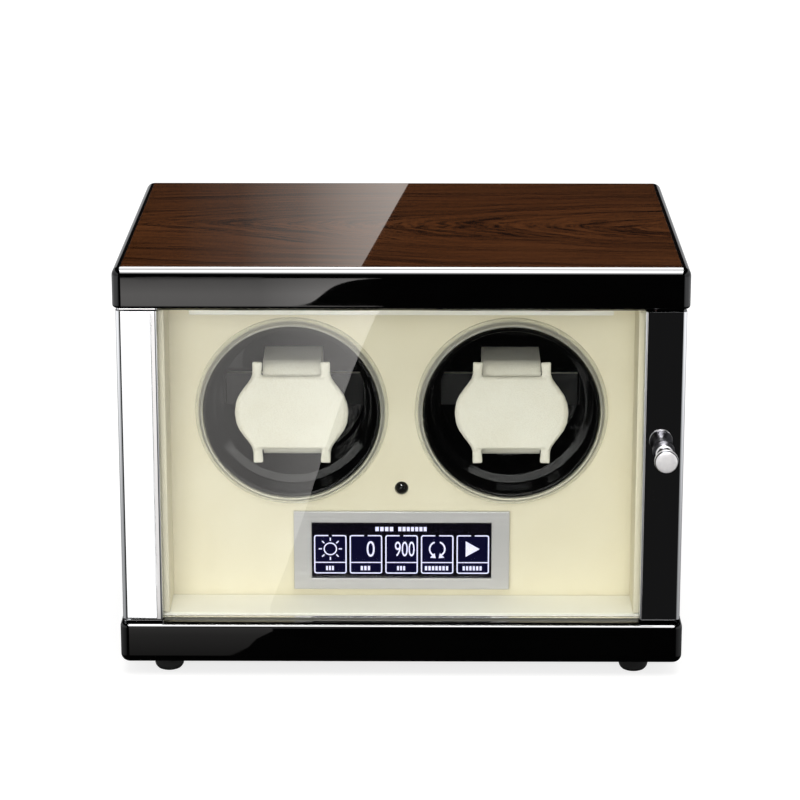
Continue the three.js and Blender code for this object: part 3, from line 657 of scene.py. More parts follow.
# Painted dark reflection: a near-black chrome for the rest of the knob.
painted_dark_reflection_chrome = grained(
    "painted_dark_reflection_chrome", (0.035, 0.034, 0.037), (0.055, 0.054, 0.058), 2200.0, 0.24, 0.4, 0.00001, 0.4,
    350.0, Metallic=1.0,
)
brushed_aluminium, tree, shader = finish("brushed_aluminium", (0.56, 0.555, 0.56), Metallic=0.3)
lines = placed(tree, brushed_lines, Roughest=0.5, Smoothest=0.25)
tree.links.new(lines.outputs["Roughness"], shader.inputs["Roughness"])
shade = ranged(tree, lines.outputs["Streak"], 0.3, 0.7)
streaks = blended(tree, shade, (0.53, 0.525, 0.53), (0.595, 0.59, 0.595))
tree.links.new(streaks, shader.inputs["Base Color"])
bump(tree, shader, lines.outputs["Height"], 0.00001, 0.5)
screw_steel = grained(
    "screw_steel", (0.56, 0.55, 0.53), (0.46, 0.45, 0.44), 1800.0, 0.2, 0.45, 0.00001, 0.4, 300.0,
    Metallic=0.9,
)
bush_bronze = grained(
    "bush_bronze", (0.50, 0.33, 0.14), (0.36, 0.22, 0.09), 2400.0, 0.35, 0.6, 0.00002, 0.6, 350.0,
    Metallic=0.85,
)
print("metals done,", len(bpy.data.materials), "materials so far")

# %% [markdown]
# ### Glass and clear acrylic
# A clear pane refracts light. Shadows pass straight through it here, so that the
# compartment is lit as through real glass, without waiting for caustics. The
# acrylic is slightly milky, so it passes less than all of the light.

# %% Glass and clear acrylic


def clear(name, tint, ior, smudged, passed):
    """A transparent finish whose shadow is clear."""
    look, tree, shader = finish(name, tint, IOR=ior, Transmission_Weight=passed)
    marks = placed(tree, polish_marks, Smooth=0.0, Smudged=smudged)
    tree.links.new(marks.outputs["Roughness"], shader.inputs["Roughness"])
    see_through = new_node(tree, "ShaderNodeBsdfTransparent", {"Color": (0.97, 0.98, 0.97, 1)})
    ray = new_node(tree, "ShaderNodeLightPath")
    either = mixed(tree, ray.outputs["Is Shadow Ray"], shader.outputs[0], see_through.outputs[0])
    tree.links.new(either, tree.nodes["Material Output"].inputs["Surface"])
    return look


door_glass = clear("door_glass", (0.985, 0.995, 0.988), 1.5, 0.006, 1.0)
clear_acrylic = clear("clear_acrylic", (0.86, 0.85, 0.78), 1.45, 0.02, 0.72)
print("clear finishes", door_glass.name, clear_acrylic.name)

# %% [markdown]
# ### Plastics, rubber and the working parts
# Gloss black for the cups, a fine moulded skin for the dull black parts, nylon
# for the gears, green solder mask for the board and a frosted strip for the light.

# %% Plastics, rubber and the working parts
foot_rubber = grained(
    "foot_rubber", (0.010, 0.010, 0.010), (0.016, 0.016, 0.016), 1200.0, 0.6, 0.85, 0.00005
)
back_board = grained(
    "back_board", (0.012, 0.012, 0.012), (0.017, 0.017, 0.017), 900.0, 0.35, 0.5, 0.00004
)
black_plastic = grained(
    "black_plastic", (0.018, 0.018, 0.018), (0.024, 0.024, 0.024), 1600.0, 0.4, 0.6, 0.00003
)
lead_insulation = grained(
    "lead_insulation", (0.012, 0.012, 0.012), (0.018, 0.018, 0.018), 1500.0, 0.4, 0.6, 0.00002
)
white_nylon = grained(
    "white_nylon", (0.78, 0.75, 0.68), (0.70, 0.67, 0.59), 1400.0, 0.35, 0.5, 0.00002,
    Subsurface_Weight=0.1,
)
light_diffuser = grained(
    "light_diffuser", (0.90, 0.88, 0.80), (0.86, 0.84, 0.75), 2200.0, 0.45, 0.6, 0.00002,
    Subsurface_Weight=0.1,
)
circuit_board = grained(
    "circuit_board", (0.012, 0.10, 0.035), (0.008, 0.065, 0.022), 1100.0, 0.3, 0.45, 0.00003
)
gloss_black_plastic = polished(
    "gloss_black_plastic", (0.0011, 0.0011, 0.0012), 0.05, 0.12, 0.00001, 0.6,
    ((0.0022, 0.0022, 0.0022), 50.0), Specular_IOR_Level=0.28,
)
print(len(bpy.data.materials), "materials so far")

# %% [markdown]
# ### Display
# The window is near-black glass with a faint blue mottle, and the lit symbols
# are pale lavender. Each cell is a slightly bluer black than the window.

# %% Display
display_glass, tree, shader = finish("display_glass", (0.0024, 0.0018, 0.0055))
mottle = ranged(tree, noise(tree, object_place(tree), 1400.0, 1.0), 0.4, 0.6)
tint = blended(tree, mottle, (0.0019, 0.0014, 0.0045), (0.0034, 0.0026, 0.0075))
tree.links.new(tint, shader.inputs["Base Color"])
marks = placed(tree, polish_marks, Smooth=0.03, Smudged=0.1)
tree.links.new(marks.outputs["Roughness"], shader.inputs["Roughness"])


def lit_finish(name, colour, glow, strength, **plain):
    """A finish that gives light, with a slight unevenness as between display dots."""
    look, tree, shader = finish(name, colour, Roughness=0.3, Emission_Strength=strength, **plain)
    dots = ranged(tree, noise(tree, object_place(tree), 1800.0, 1.0), 0.35, 0.65)
    dim = tuple(0.86 * part for part in glow)
    tree.links.new(blended(tree, dots, dim, glow), shader.inputs["Emission Color"])
    return look


display_symbols = lit_finish("display_symbols", (0.3, 0.3, 0.36), (0.72, 0.71, 1.0), 1.0)
display_cells = lit_finish(
    "display_cells", (0.002, 0.002, 0.006), (0.035, 0.03, 0.30), 0.07, Specular_IOR_Level=0.0
)
print("finishes", len(bpy.data.materials))

# %% [markdown]
# ## Modelling tools
# Most parts of the box are either boards with rounded edges or turned parts. A
# board is a cube whose upright edges are bevelled first, then the rims. A turned
# part is a profile of edges spun about its axis, as on a lathe.

# %% Modelling tools


def installed(name, bm, look, slot, body, *nodes, degrees=32, flat_faces=True):
    """Turns bm into a piece that rides on a body and stands for CAD nodes.

    With flat_faces, the large faces decide the shading at their edges, so that a
    flat mirror stays flat right up to its rounded edge.
    """
    mesh = bpy.data.meshes.new(name)
    bm.to_mesh(mesh)
    bm.free()
    mesh.materials.append(look)
    mesh.shade_smooth()
    mesh.set_sharp_from_angle(angle=math.radians(degrees))
    piece = bpy.data.objects.new(name, mesh)
    scene.collection.objects.link(piece)
    if flat_faces:
        weighted = piece.modifiers.new("WeightedNormal", "WEIGHTED_NORMAL")
        weighted.weight = 100
        weighted.keep_sharp = True
    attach(piece, body)
    if nodes:
        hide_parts(*nodes)
    return piece


def eased(bm, edges, radius, segments=3):
    """Bevels edges to a round of this radius, in metres."""
    bmesh.ops.bevel(
        bm, geom=edges, offset=radius, offset_type="OFFSET", segments=segments,
        affect="EDGES", profile=0.5, material=-1, clamp_overlap=True,
    )


def creases(bm, degrees=35):
    """The edges where two faces meet at more than this angle."""
    limit = math.radians(degrees)
    return [e for e in bm.edges if len(e.link_faces) == 2 and e.calc_face_angle(0) > limit]


def cuboid(low, high):
    """A box between two corners."""
    bm = bmesh.new()
    bmesh.ops.create_cube(bm, size=1)
    size = [b - a for a, b in zip(low, high)]
    bmesh.ops.scale(bm, vec=size, verts=bm.verts)
    bmesh.ops.translate(bm, vec=[(a + b) / 2 for a, b in zip(low, high)], verts=bm.verts)
    return bm


def board(low, high, corner, top, bottom):
    """A box with rounded upright edges, then rounded rims above and below."""
    bm = cuboid(low, high)
    upright = [e for e in bm.edges if abs(e.verts[0].co.z - e.verts[1].co.z) > 1e-5]
    eased(bm, upright, corner, 8)
    for level, radius in ((high[2], top), (low[2], bottom)):
        rim = [e for e in bm.edges if all(abs(v.co.z - level) < 1e-6 for v in e.verts)]
        eased(bm, rim, radius, 8)
    return bm


def turned(profile, closed=False, steps=96, ease=0.00025):
    """Spins (radius, y) points in millimetres about the Y axis and eases the corners."""
    bm = bmesh.new()
    points = [bm.verts.new((r * MM, y * MM, 0)) for r, y in profile]
    pairs = list(zip(points, points[1:])) + ([(points[-1], points[0])] if closed else [])
    edges = [bm.edges.new(pair) for pair in pairs]
    bmesh.ops.spin(
        bm, geom=points + edges, cent=(0, 0, 0), axis=(0, 1, 0),
        angle=2 * math.pi, steps=steps, use_merge=True,
    )
    bmesh.ops.remove_doubles(bm, verts=bm.verts, dist=1e-7)
    bmesh.ops.recalc_face_normals(bm, faces=bm.faces)
    if ease:
        eased(bm, creases(bm, 30), ease, 3)
    return bm


def moved(bm, x=0.0, y=0.0, z=0.0):
    """Moves the whole bmesh, in metres."""
    bmesh.ops.translate(bm, vec=(x, y, z), verts=bm.verts)
    return bm


def gathered(main, extra):
    """Adds the faces of one bmesh to another, and frees it."""
    part = bpy.data.meshes.new("part")
    extra.to_mesh(part)
    extra.free()
    main.from_mesh(part)
    bpy.data.meshes.remove(part)


def traced(node):
    """A merged copy of a CAD node's mesh, with flat faces whole again."""
    bm = bmesh.new()
    bm.from_mesh(frame["nodes"][node].data)
    bmesh.ops.remove_doubles(bm, verts=bm.verts, dist=1e-6)
    bmesh.ops.dissolve_limit(bm, angle_limit=math.radians(1), verts=bm.verts, edges=bm.edges)
    return bm


def centre_of(node):
    """The middle of a CAD node's box."""
    low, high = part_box(node)
    return (low + high) / 2


print("the door's knob is centred at", [round(v / MM, 1) for v in centre_of("door_knob")], "mm")

# %% [markdown]
# ## Lid, veneer and base
# The lid is a thick board, finely rounded at its top edge, with a walnut sheet
# let into its top. The base is the same board, rounded at its lower edge instead.
# The sheet lies in a shallow recess, so no two faces share one plane.

# %% Lid, veneer and base
PLAN_CORNER = 4.5 * MM
OUTER_ROUND, INNER_ROUND = 4.0 * MM, 1.5 * MM
RECESS_INSET, RECESS_DEPTH = 0.06 * MM, 0.7 * MM
low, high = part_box("lid_board")
lid = board(low, high, PLAN_CORNER, OUTER_ROUND, INNER_ROUND)
top = max(lid.faces, key=lambda f: f.calc_center_median().z * (f.normal.z > 0.99))
bmesh.ops.inset_region(lid, faces=[top], thickness=RECESS_INSET)
deck = bmesh.ops.extrude_face_region(lid, geom=[top])["geom"]
bmesh.ops.delete(lid, geom=[top], context="FACES_ONLY")
sunk = [v for v in deck if isinstance(v, bmesh.types.BMVert)]
bmesh.ops.translate(lid, vec=(0, 0, -RECESS_DEPTH), verts=sunk)
installed("lid", lid, black_lacquer, "black_lacquer", "case", "lid_board")

SPREAD = Vector((0.18 * MM, 0.18 * MM, 0))
low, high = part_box("lid_veneer")
low, high = low - SPREAD, high + SPREAD
sheet = board(low, high, 0.7 * MM, 0.12 * MM, 0.05 * MM)
installed("walnut_top", sheet, walnut_veneer, "walnut_veneer", "case", "lid_veneer")

low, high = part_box("base_board")
base = board(low, high, PLAN_CORNER, INNER_ROUND, OUTER_ROUND)
installed("base", base, black_lacquer, "black_lacquer", "case", "base_board")

# %% [markdown]
# ## Walls, liners and light strip
# The side walls are lacquered boards with eased edges. The liners are covered
# boards; their skin is folded over the edges, so these are softly round. The
# light strip under the ceiling has the rounder edges of an extruded diffuser.

# %% Walls, liners and light strip


def softened_box(node, radius, segments):
    """A box of a CAD node's size with all its edges rounded."""
    bm = cuboid(*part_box(node))
    eased(bm, bm.edges[:], radius, segments)
    return bm


for side in ("left", "right"):
    node = f"side_wall_{side}"
    wall = traced(node)
    eased(wall, creases(wall, 60), 0.5 * MM, 3)
    installed(f"wall_{side}", wall, black_lacquer, "black_lacquer", "case", node)
    node = f"wall_liner_{side}"
    liner = softened_box(node, 0.5 * MM, 3)
    installed(f"liner_{side}", liner, cream_board, "cream_board", "case", node)
# The floor lining takes the paler copy, painted light; the ceiling the plain cream board.
for level, skin in (("floor", lit_cream_board), ("ceiling", cream_board)):
    node = f"{level}_liner"
    liner = softened_box(node, 0.5 * MM, 3)
    installed(f"{level}_lining", liner, skin, "cream_board", "case", node)
strip = softened_box("led_strip", 0.8 * MM, 4)
installed("light_strip", strip, light_diffuser, "light_diffuser", "case", "led_strip")
print("light strip", [round(v / MM, 1) for v in centre_of("led_strip")])

# %% [markdown]
# ## Feet
# Each foot is a turned rubber button with a domed edge and a hollowed sole. A
# profile spun about Y is laid on its side, so a quarter turn stands it upright.

# %% Feet
UPRIGHT = Matrix.Rotation(math.pi / 2, 3, "X")
FOOT = [
    (0, 6.7), (7.0, 6.7), (7.0, 3.0), (6.75, 2.0), (6.2, 1.1), (5.5, 0.4), (4.6, 0), (3.4, 0),
    (3.0, 0.35), (0, 0.35),
]
for row in ("front", "rear"):
    for side in ("left", "right"):
        node = f"foot_{row}_{side}"
        foot = turned(FOOT, steps=64, ease=0.0002)
        bmesh.ops.rotate(foot, cent=(0, 0, 0), matrix=UPRIGHT, verts=foot.verts)
        spot = centre_of(node)
        moved(foot, spot.x, spot.y, 0)
        installed(f"rubber_foot_{row}_{side}", foot, foot_rubber, "foot_rubber", "case", node)
print("feet at", [round(v / MM, 1) for v in centre_of("foot_front_left")[:2]])

# %% [markdown]
# ## Door
# Two chrome stiles hold the glass. A stile is a bar with a generous round on its
# outer edges and a small one inside; the CAD solid already has the groove and the
# bores, so its mesh is copied and only its ends are eased.

# %% Door
for side in ("left", "right"):
    node = f"door_stile_{side}"
    stile = traced(node)
    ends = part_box(node)
    rims = [
        e for e in creases(stile, 60)
        if any(all(abs(v.co.z - level[2]) < 1e-6 for v in e.verts) for level in ends)
    ]
    eased(stile, rims, 0.25 * MM, 2)
    installed(f"stile_{side}", stile, polished_chrome, "polished_chrome", "door", node)
pane = softened_box("door_glass", 0.35 * MM, 3)
installed("glass_pane", pane, door_glass, "door_glass", "door", "door_glass")

# %% [markdown]
# ## Knob
# The knob is turned from one bar: a round flange on the stile, a waisted neck
# with a bead, and a domed button. The face, a band round the button and the edge
# of the bead get a bright, partly dull chrome as painted highlights, and the rest a
# near-black chrome as painted dark reflection. One mesh carries both finishes,
# given to its faces by their distance from the tip and the seat.

# %% Knob
tip, seat = (corner.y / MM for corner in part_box("door_knob"))
KNOB = [
    (0, tip), (2.6, tip + 0.06), (4.3, tip + 0.3), (5.1, tip + 0.8), (5.55, tip + 1.6),
    (5.65, tip + 2.5), (5.6, tip + 3.2), (5.3, tip + 4.0), (4.5, tip + 4.7), (3.6, tip + 5.1),
    (3.15, tip + 5.9), (3.05, tip + 6.8), (3.1, seat - 6.3), (3.5, seat - 5.3), (4.1, seat - 4.9),
    (4.15, seat - 4.4), (3.7, seat - 3.8), (3.35, seat - 3.2), (3.6, seat - 2.4), (4.4, seat - 1.7),
    (5.2, seat - 1.3), (5.25, seat), (0, seat),
]
knob = turned(KNOB, ease=0)
eased(knob, creases(knob, 55), 0.2 * MM, 3)
spot = centre_of("door_knob")
moved(knob, spot.x, 0, spot.z)
button = installed("knob", knob, polished_chrome, "polished_chrome", "door", "door_knob", degrees=40)
button.data.materials.append(painted_highlight_chrome)
button.data.materials.append(painted_dark_reflection_chrome)
# The bands that carry the painted highlight, in millimetres from the tip and the seat.
FACE_DEPTH = 0.75
BAND_START, BAND_END = 1.9, 2.9
BEAD_START, BEAD_END = 4.5, 5.1
# Faces in these bands get the painted highlight, the others the painted dark reflection.
painted_highlights = 0
for polygon in button.data.polygons:
    from_tip = polygon.center.y / MM - tip
    from_seat = seat - polygon.center.y / MM
    on_button = from_tip < FACE_DEPTH or BAND_START < from_tip < BAND_END
    is_painted_highlight = on_button or BEAD_START < from_seat < BEAD_END
    polygon.material_index = 1 if is_painted_highlight else 2
    painted_highlights += is_painted_highlight
print("knob", round(2 * max(radius for radius, y in KNOB), 1), "mm across,", painted_highlights, "satin faces")

# %% [markdown]
# ## Display frame and lit symbols
# The frame is a flat rectangular ring with eased edges. The symbols are printed
# light: flat shapes a hair above the window. Words are shown as plain bars, and
# only the digits are drawn as such.

# %% Display frame
bezel = traced("display_bezel")
eased(bezel, creases(bezel, 60), 0.35 * MM, 3)
installed("display_frame", bezel, brushed_aluminium, "brushed_aluminium", "case", "display_bezel")
window = softened_box("display_window", 0.2 * MM, 2)
installed("window_pane", window, display_glass, "display_glass", "case", "display_window")

# %% Symbol tools
SCREEN = centre_of("display_window")
SCREEN_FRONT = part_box("display_window")[0].y
symbols = bmesh.new()


def flat(bm, corners):
    """A flat face with these corners, in millimetres from the middle of the screen."""
    bm.faces.new([bm.verts.new((x * MM, 0, z * MM)) for x, z in corners])


def bar(bm, x0, x1, z0, z1):
    """A flat bar."""
    flat(bm, [(x0, z0), (x1, z0), (x1, z1), (x0, z1)])


def arc(bm, x, z, inner, outer, start, sweep, steps=20):
    """A flat arc about (x, z). Angles are in degrees, anticlockwise from +X."""
    turn = Matrix.Rotation(-math.radians(start), 3, "Y")
    middle = Vector((x * MM, 0, z * MM))
    ends = [bm.verts.new(turn @ Vector((radius * MM, 0, 0)) + middle) for radius in (inner, outer)]
    edge = bm.edges.new(ends)
    bmesh.ops.spin(
        bm, geom=[*ends, edge], cent=middle, axis=(0, -1, 0),
        angle=math.radians(sweep), steps=steps, use_merge=sweep >= 360,
    )


# %% Cells and their frames
CELL_PITCH = 17.4
CELL_HALF = 7.95
CELL_TOP, CELL_BOTTOM = 7.9, -11.9
RULE_TOP, RULE_BOTTOM = -5.9, -6.4
STROKE = 0.6
ROUND = 1.2
HALF_BREAK = 0.95
CELL_NUMBERS = range(-2, 3)
cells = bmesh.new()
for number in CELL_NUMBERS:
    x = number * CELL_PITCH
    left, right = x - CELL_HALF, x + CELL_HALF
    bar(cells, left + STROKE, right - STROKE, CELL_BOTTOM + STROKE, CELL_TOP - STROKE)
    bar(symbols, left + ROUND, x - HALF_BREAK, CELL_TOP - STROKE, CELL_TOP)
    bar(symbols, x + HALF_BREAK, right - ROUND, CELL_TOP - STROKE, CELL_TOP)
    bar(symbols, left + ROUND, right - ROUND, CELL_BOTTOM, CELL_BOTTOM + STROKE)
    bar(symbols, left, left + STROKE, CELL_BOTTOM + ROUND, CELL_TOP - ROUND)
    bar(symbols, right - STROKE, right, CELL_BOTTOM + ROUND, CELL_TOP - ROUND)
    bar(symbols, left + STROKE, right - STROKE, RULE_BOTTOM, RULE_TOP)
    for centre_x, centre_z, start in (
        (right - ROUND, CELL_TOP - ROUND, 0), (left + ROUND, CELL_TOP - ROUND, 90),
        (left + ROUND, CELL_BOTTOM + ROUND, 180), (right - ROUND, CELL_BOTTOM + ROUND, 270),
    ):
        arc(symbols, centre_x, centre_z, ROUND - STROKE, ROUND, start, 90, 6)


def bar_row(start, end, pitch, filled, z0, z1, fewest=3):
    """A row of short bars about a pitch apart, in place of a word."""
    count = max(fewest, round((end - start) / pitch))
    step = (end - start) / count
    for number in range(count):
        left = start + number * step
        bar(symbols, left, left + filled * step, z0, z1)


LABEL_WIDTHS = (4.3, 5.2, 4.5, 12.0, 9.9)
for number, width in zip(CELL_NUMBERS, LABEL_WIDTHS):
    x = number * CELL_PITCH
    bar_row(x - width / 2, x + width / 2, 1.7, 0.66, -10.2, -8.0)
for start, end in ((-12.8, -3.4), (-1.6, 12.8)):
    bar_row(start, end, 2.1, 0.72, 9.9, 12.1)
print("cells", len(CELL_NUMBERS), "at a pitch of", CELL_PITCH, "mm")

# %% Icons
ICON_Z = 0.8
SUN = (-2 * CELL_PITCH, ICON_Z)
arc(symbols, *SUN, 2.7, 3.3, 0, 360, 32)
for ray in range(8):
    angle = math.radians(45 * ray)
    spoke = bmesh.new()
    bar(spoke, 4.1, 5.7, -0.32, 0.32)
    turn = Matrix.Rotation(-angle, 3, "Y")
    bmesh.ops.rotate(spoke, cent=(0, 0, 0), matrix=turn, verts=spoke.verts)
    gathered(symbols, moved(spoke, SUN[0] * MM, 0, SUN[1] * MM))
LOOP = (CELL_PITCH, ICON_Z)
for side, start in ((-1, 110), (1, 300)):
    arc(symbols, *LOOP, 3.3, 4.1, start, 130, 16)
    x, z = LOOP
    flat(symbols, [(x + side * 0.7, z - 4.7), (x + side * 3.5, z - 4.4), (x + side * 1.3, z - 2.1)])
PLAY_LEFT, PLAY_RIGHT = 2 * CELL_PITCH - 3.5, 2 * CELL_PITCH + 3.3
flat(symbols, [(PLAY_LEFT, ICON_Z - 4.0), (PLAY_RIGHT, ICON_Z), (PLAY_LEFT, ICON_Z + 4.0)])


def digits(text, centre_x, centre_z, width, height):
    """Adds digits in Blender's own typeface, fitted into a box, to the symbols."""
    curve = bpy.data.curves.new("digits", "FONT")
    curve.body = text
    holder = bpy.data.objects.new("digits", curve)
    scene.collection.objects.link(holder)
    bpy.context.view_layer.update()
    outline = bpy.data.meshes.new_from_object(holder)
    bpy.data.objects.remove(holder)
    bpy.data.curves.remove(curve)
    drawn = bmesh.new()
    drawn.from_mesh(outline)
    bpy.data.meshes.remove(outline)
    xs = [v.co.x for v in drawn.verts]
    ys = [v.co.y for v in drawn.verts]
    moved(drawn, -(min(xs) + max(xs)) / 2, -(min(ys) + max(ys)) / 2, 0)
    size = (width * MM / (max(xs) - min(xs)), height * MM / (max(ys) - min(ys)), 1)
    bmesh.ops.scale(drawn, vec=size, verts=drawn.verts)
    bmesh.ops.rotate(drawn, cent=(0, 0, 0), matrix=UPRIGHT, verts=drawn.verts)
    gathered(symbols, moved(drawn, centre_x * MM, 0, centre_z * MM))


digits("0", -CELL_PITCH + 2.3, ICON_Z, 3.9, 8.0)
digits("900", 1.55, ICON_Z, 9.6, 7.6)
print("symbols", len(symbols.faces), "faces")

# %% Symbols on the window
for bm, name, look, lift in (
    (cells, "display_cell_backs", display_cells, 0.02),
    (symbols, "display_symbols", display_symbols, 0.05),
):
    moved(bm, SCREEN.x, SCREEN_FRONT - lift * MM, SCREEN.z)
    for face in bm.faces:
        face.normal_update()
    backward = [f for f in bm.faces if f.normal.y > 0]
    bmesh.ops.reverse_faces(bm, faces=backward)
    installed(name, bm, look, "display_glass", "case")
print("screen middle", [round(v / MM, 1) for v in SCREEN])

# %% [markdown]
# ## Receiver eye
# A domed dark lens lets the remote's infrared light through. It is small, and a
# short turned profile gives it the bright point that a dome shows.

# %% Receiver eye
front, rear = (corner.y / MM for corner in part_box("infrared_eye"))
EYE = [
    (0, front), (0.9, front + 0.08), (1.7, front + 0.36), (2.3, front + 0.85), (2.75, front + 1.5),
    (2.95, front + 2.2), (3.0, front + 2.8), (3.0, rear), (0, rear),
]
eye = turned(EYE, steps=48, ease=0)
spot = centre_of("infrared_eye")
moved(eye, spot.x, 0, spot.z)
installed("receiver_eye", eye, gloss_black_plastic, "gloss_black_plastic", "case", "infrared_eye")
print("eye", round(rear - front, 1), "mm long")

# %% [markdown]
# ## Cups and rings
# A cup is a deep turned shell with two short ribs that grip the pillow and two
# curved clips on its ledge. Around its mouth the panel wears a clear acrylic ring.

# %% Cups and rings
rim, floor_y = (corner.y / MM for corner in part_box("cup_left"))
LEDGE_DEPTH = 18
FLOOR_THICKNESS = 3
step_y = rim + LEDGE_DEPTH
CUP = [
    (0, floor_y - FLOOR_THICKNESS), (34.6, floor_y - FLOOR_THICKNESS), (35.6, floor_y - 3.4),
    (36, floor_y - 4.4), (36, step_y + 0.4), (36.4, step_y), (40.2, step_y - 0.6),
    (40.6, step_y - 1.1), (40.6, rim + 0.5), (40.9, rim + 0.1), (41.3, rim), (41.9, rim),
    (42.2, rim + 0.2), (42.3, rim + 0.6), (42.3, step_y + 2), (38, step_y + 4),
    (38, floor_y - 0.6), (37.4, floor_y), (0, floor_y),
]
CLIP_SWEEP = math.radians(31)


def clip(sign):
    """A short curved tab on the cup's ledge, at three or nine o'clock."""
    bm = bmesh.new()
    section = [(37.4, step_y - 4), (39.2, step_y - 4), (39.2, step_y + 1), (37.4, step_y + 1)]
    face = bm.faces.new([bm.verts.new((sign * r * MM, y * MM, 0)) for r, y in section])
    turn = Matrix.Rotation(-CLIP_SWEEP / 2, 3, "Y")
    bmesh.ops.rotate(bm, cent=(0, 0, 0), matrix=turn, verts=bm.verts)
    bmesh.ops.spin(
        bm, geom=[face], cent=(0, 0, 0), axis=(0, 1, 0), angle=CLIP_SWEEP, steps=12,
    )
    bmesh.ops.recalc_face_normals(bm, faces=bm.faces)
    eased(bm, creases(bm, 60), 0.3 * MM, 2)
    return bm


def grip_rib(sign):
    """A short rib inside the bore."""
    x0, x1 = sorted((sign * 34.2 * MM, sign * 37.0 * MM))
    low = (x0, (step_y + 6) * MM, -10 * MM)
    high = (x1, (floor_y - 2) * MM, 10 * MM)
    bm = cuboid(low, high)
    eased(bm, bm.edges[:], 0.5 * MM, 3)
    return bm


RING_FRONT, RING_BACK = (corner.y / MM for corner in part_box("cup_ring_left"))
FLANGE_Y = -52.5
RING = [
    (42.9, RING_FRONT + 0.5), (43.1, RING_FRONT + 0.1), (43.4, RING_FRONT), (43.8, RING_FRONT + 0.1),
    (44.1, RING_FRONT + 0.5), (46.3, FLANGE_Y - 1.1), (46.6, FLANGE_Y - 0.7), (46.7, FLANGE_Y - 0.3),
    (46.7, FLANGE_Y), (43.8, FLANGE_Y), (43.8, RING_BACK), (42.9, RING_BACK),
]
for side in ("left", "right"):
    axis = centre_of(f"cup_gear_{side}")
    cup = turned(CUP, steps=128, ease=0)
    for sign in (-1, 1):
        gathered(cup, clip(sign))
        gathered(cup, grip_rib(sign))
    moved(cup, axis.x, 0, axis.z)
    installed(
        f"winding_cup_{side}", cup, gloss_black_plastic, "gloss_black_plastic",
        f"cup_{side}_turning", f"cup_{side}",
    )
    ring = turned(RING, closed=True, steps=128, ease=0)
    moved(ring, axis.x, 0, axis.z)
    installed(f"clear_ring_{side}", ring, clear_acrylic, "clear_acrylic", "case", f"cup_ring_{side}")
print("cup depth", round(floor_y - FLOOR_THICKNESS - rim, 1), "mm")

# %% [markdown]
# ## Pillows
# The front of a pillow is a foam pad in leatherette: flat once, but the skin is
# pulled over the foam, so it is crowned and its edges are fat. The pad is inflated
# with cloth pressure at ten times its size, because cloth is tuned for furniture.
# The loop behind it is a strip in the same skin that a watch's strap closes round,
# with a black plastic spring on its flanks.

# %% Pillow pad simulation
ENLARGED = 10.0
PUFF_LIMIT = 0.011
FLAT_SHARE = (0.965, 0.5, 0.965)
VOXEL = 0.006
LAST_FRAME = 14


def evaluated_mesh(piece):
    """A mesh with the piece's modifiers applied."""
    graph = bpy.context.evaluated_depsgraph_get()
    return bpy.data.meshes.new_from_object(piece.evaluated_get(graph))


def puffed_pad(node):
    """A padded copy of a flat CAD pad."""
    core = traced(node)
    spot = centre_of(node)
    moved(core, -spot.x, -spot.y, -spot.z)
    bmesh.ops.scale(core, vec=[ENLARGED * share for share in FLAT_SHARE], verts=core.verts)
    mesh = bpy.data.meshes.new("pad_core")
    core.to_mesh(mesh)
    core.free()
    holder = bpy.data.objects.new("pad_core", mesh)
    scene.collection.objects.link(holder)
    remesh = holder.modifiers.new("Remesh", "REMESH")
    remesh.mode = "VOXEL"
    remesh.voxel_size = VOXEL
    holder.data = evaluated_mesh(holder)
    holder.modifiers.clear()
    before = [v.co.copy() for v in holder.data.vertices]
    after = before
    cloth = holder.modifiers.new("Cloth", "CLOTH")
    cloth.settings.use_pressure = True
    cloth.settings.uniform_pressure_force = 4
    cloth.settings.effector_weights.gravity = 0
    for number in range(1, LAST_FRAME + 1):
        scene.frame_set(number)
    swollen = evaluated_mesh(holder)
    after = [v.co.copy() for v in swollen.vertices]
    holder.modifiers.clear()
    scene.frame_set(1)
    bm = bmesh.new()
    bm.from_mesh(holder.data)
    bm.verts.ensure_lookup_table()
    for vertex, old, new in zip(bm.verts, before, after):
        shift = new - old
        vertex.co = old + shift * min(1.0, PUFF_LIMIT / max(shift.length, 1e-9))
    for _ in range(2):
        bmesh.ops.smooth_vert(
            bm, verts=bm.verts, factor=0.5, use_axis_x=True, use_axis_y=True, use_axis_z=True
        )
    bmesh.ops.scale(bm, vec=[1 / ENLARGED] * 3, verts=bm.verts)
    bpy.data.objects.remove(holder)
    return bm


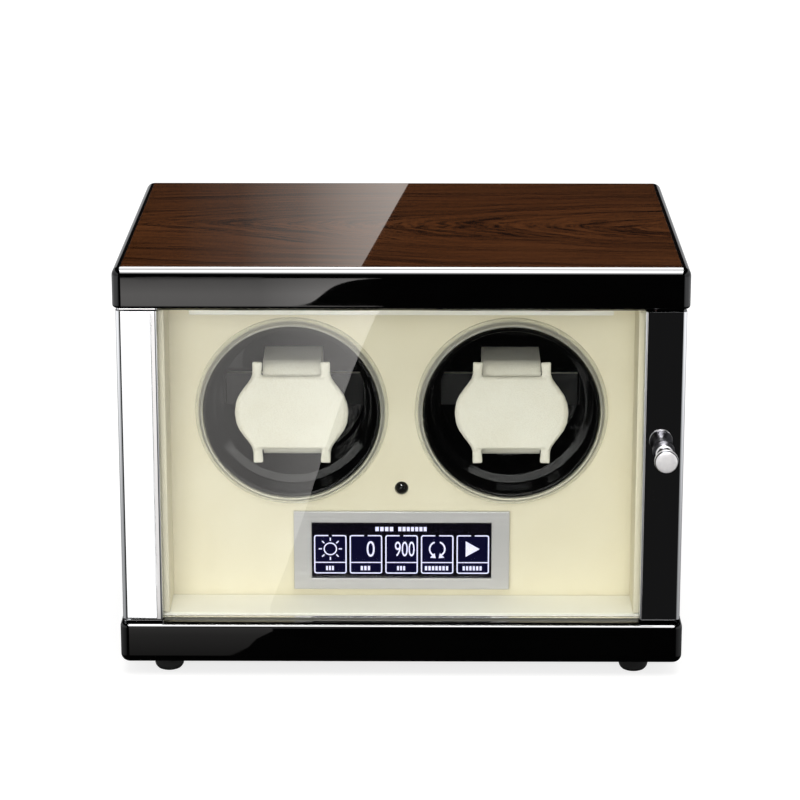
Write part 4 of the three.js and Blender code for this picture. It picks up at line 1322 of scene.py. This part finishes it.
pad = puffed_pad("pillow_pad_left")
pad_mesh = bpy.data.meshes.new("pad_shape")
pad.to_mesh(pad_mesh)
deepest = max(v.co.y for v in pad.verts)
pad.free()
BACK_OF_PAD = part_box("pillow_pad_left")[1].y
for side in ("left", "right"):
    bm = bmesh.new()
    bm.from_mesh(pad_mesh)
    spot = centre_of(f"pillow_pad_{side}")
    moved(bm, spot.x, BACK_OF_PAD - deepest, spot.z)
    name = f"pillow_front_{side}"
    piece = installed(
        name, bm, cream_leather, "cream_leather", f"pillow_{side}", f"pillow_pad_{side}",
        degrees=80, flat_faces=False,
    )
bpy.data.meshes.remove(pad_mesh)
print("pad back at", round(BACK_OF_PAD / MM, 2), "mm")
print("swelling limit", round(PUFF_LIMIT / ENLARGED / MM, 2), "mm")

# %% Pillow loops
FLANK = 14.05 * MM
SPRING_FRONT = -0.0165
for side in ("left", "right"):
    loop = traced(f"pillow_loop_{side}")
    eased(loop, creases(loop, 50), 0.7 * MM, 4)
    name = f"pillow_strap_loop_{side}"
    strap_loop = installed(
        name, loop, cream_leather, "cream_leather", f"pillow_{side}", f"pillow_loop_{side}", degrees=40
    )
    strap_loop.data.materials.append(black_plastic)
    middle_x = centre_of(f"pillow_loop_{side}").x
    for polygon in strap_loop.data.polygons:
        if abs(polygon.center.x - middle_x) > FLANK and polygon.center.y > SPRING_FRONT:
            polygon.material_index = 1
print("loops", len(strap_loop.data.polygons), "faces each")

# %% [markdown]
# ## Finishes for the parts kept from CAD
# The front and back panels, the hidden drive and the hardware have the right
# shape already. They keep their CAD mesh and only get their finish, which the
# record's material slots choose.

# %% Finishes for the parts kept from CAD
looks = {
    "black_lacquer": black_lacquer, "walnut_veneer": walnut_veneer, "foot_rubber": foot_rubber,
    "back_board": back_board, "screw_steel": screw_steel, "black_plastic": black_plastic,
    "cream_board": cream_board, "light_diffuser": light_diffuser,
    "brushed_aluminium": brushed_aluminium, "display_glass": display_glass,
    "circuit_board": circuit_board, "gloss_black_plastic": gloss_black_plastic,
    "polished_chrome": polished_chrome, "door_glass": door_glass, "clear_acrylic": clear_acrylic,
    "white_nylon": white_nylon, "cream_leather": cream_leather, "bush_bronze": bush_bronze,
    "lead_insulation": lead_insulation,
}
slots = {part["node"]: part["material_slot"] for part in frame["record"]["subparts"]}
kept = [name for name, node in frame["nodes"].items() if not node.hide_render]
for name in kept:
    node = frame["nodes"][name]
    node.data.materials.clear()
    node.data.materials.append(looks[slots[name]])
print("kept from CAD:", ", ".join(sorted(kept)))
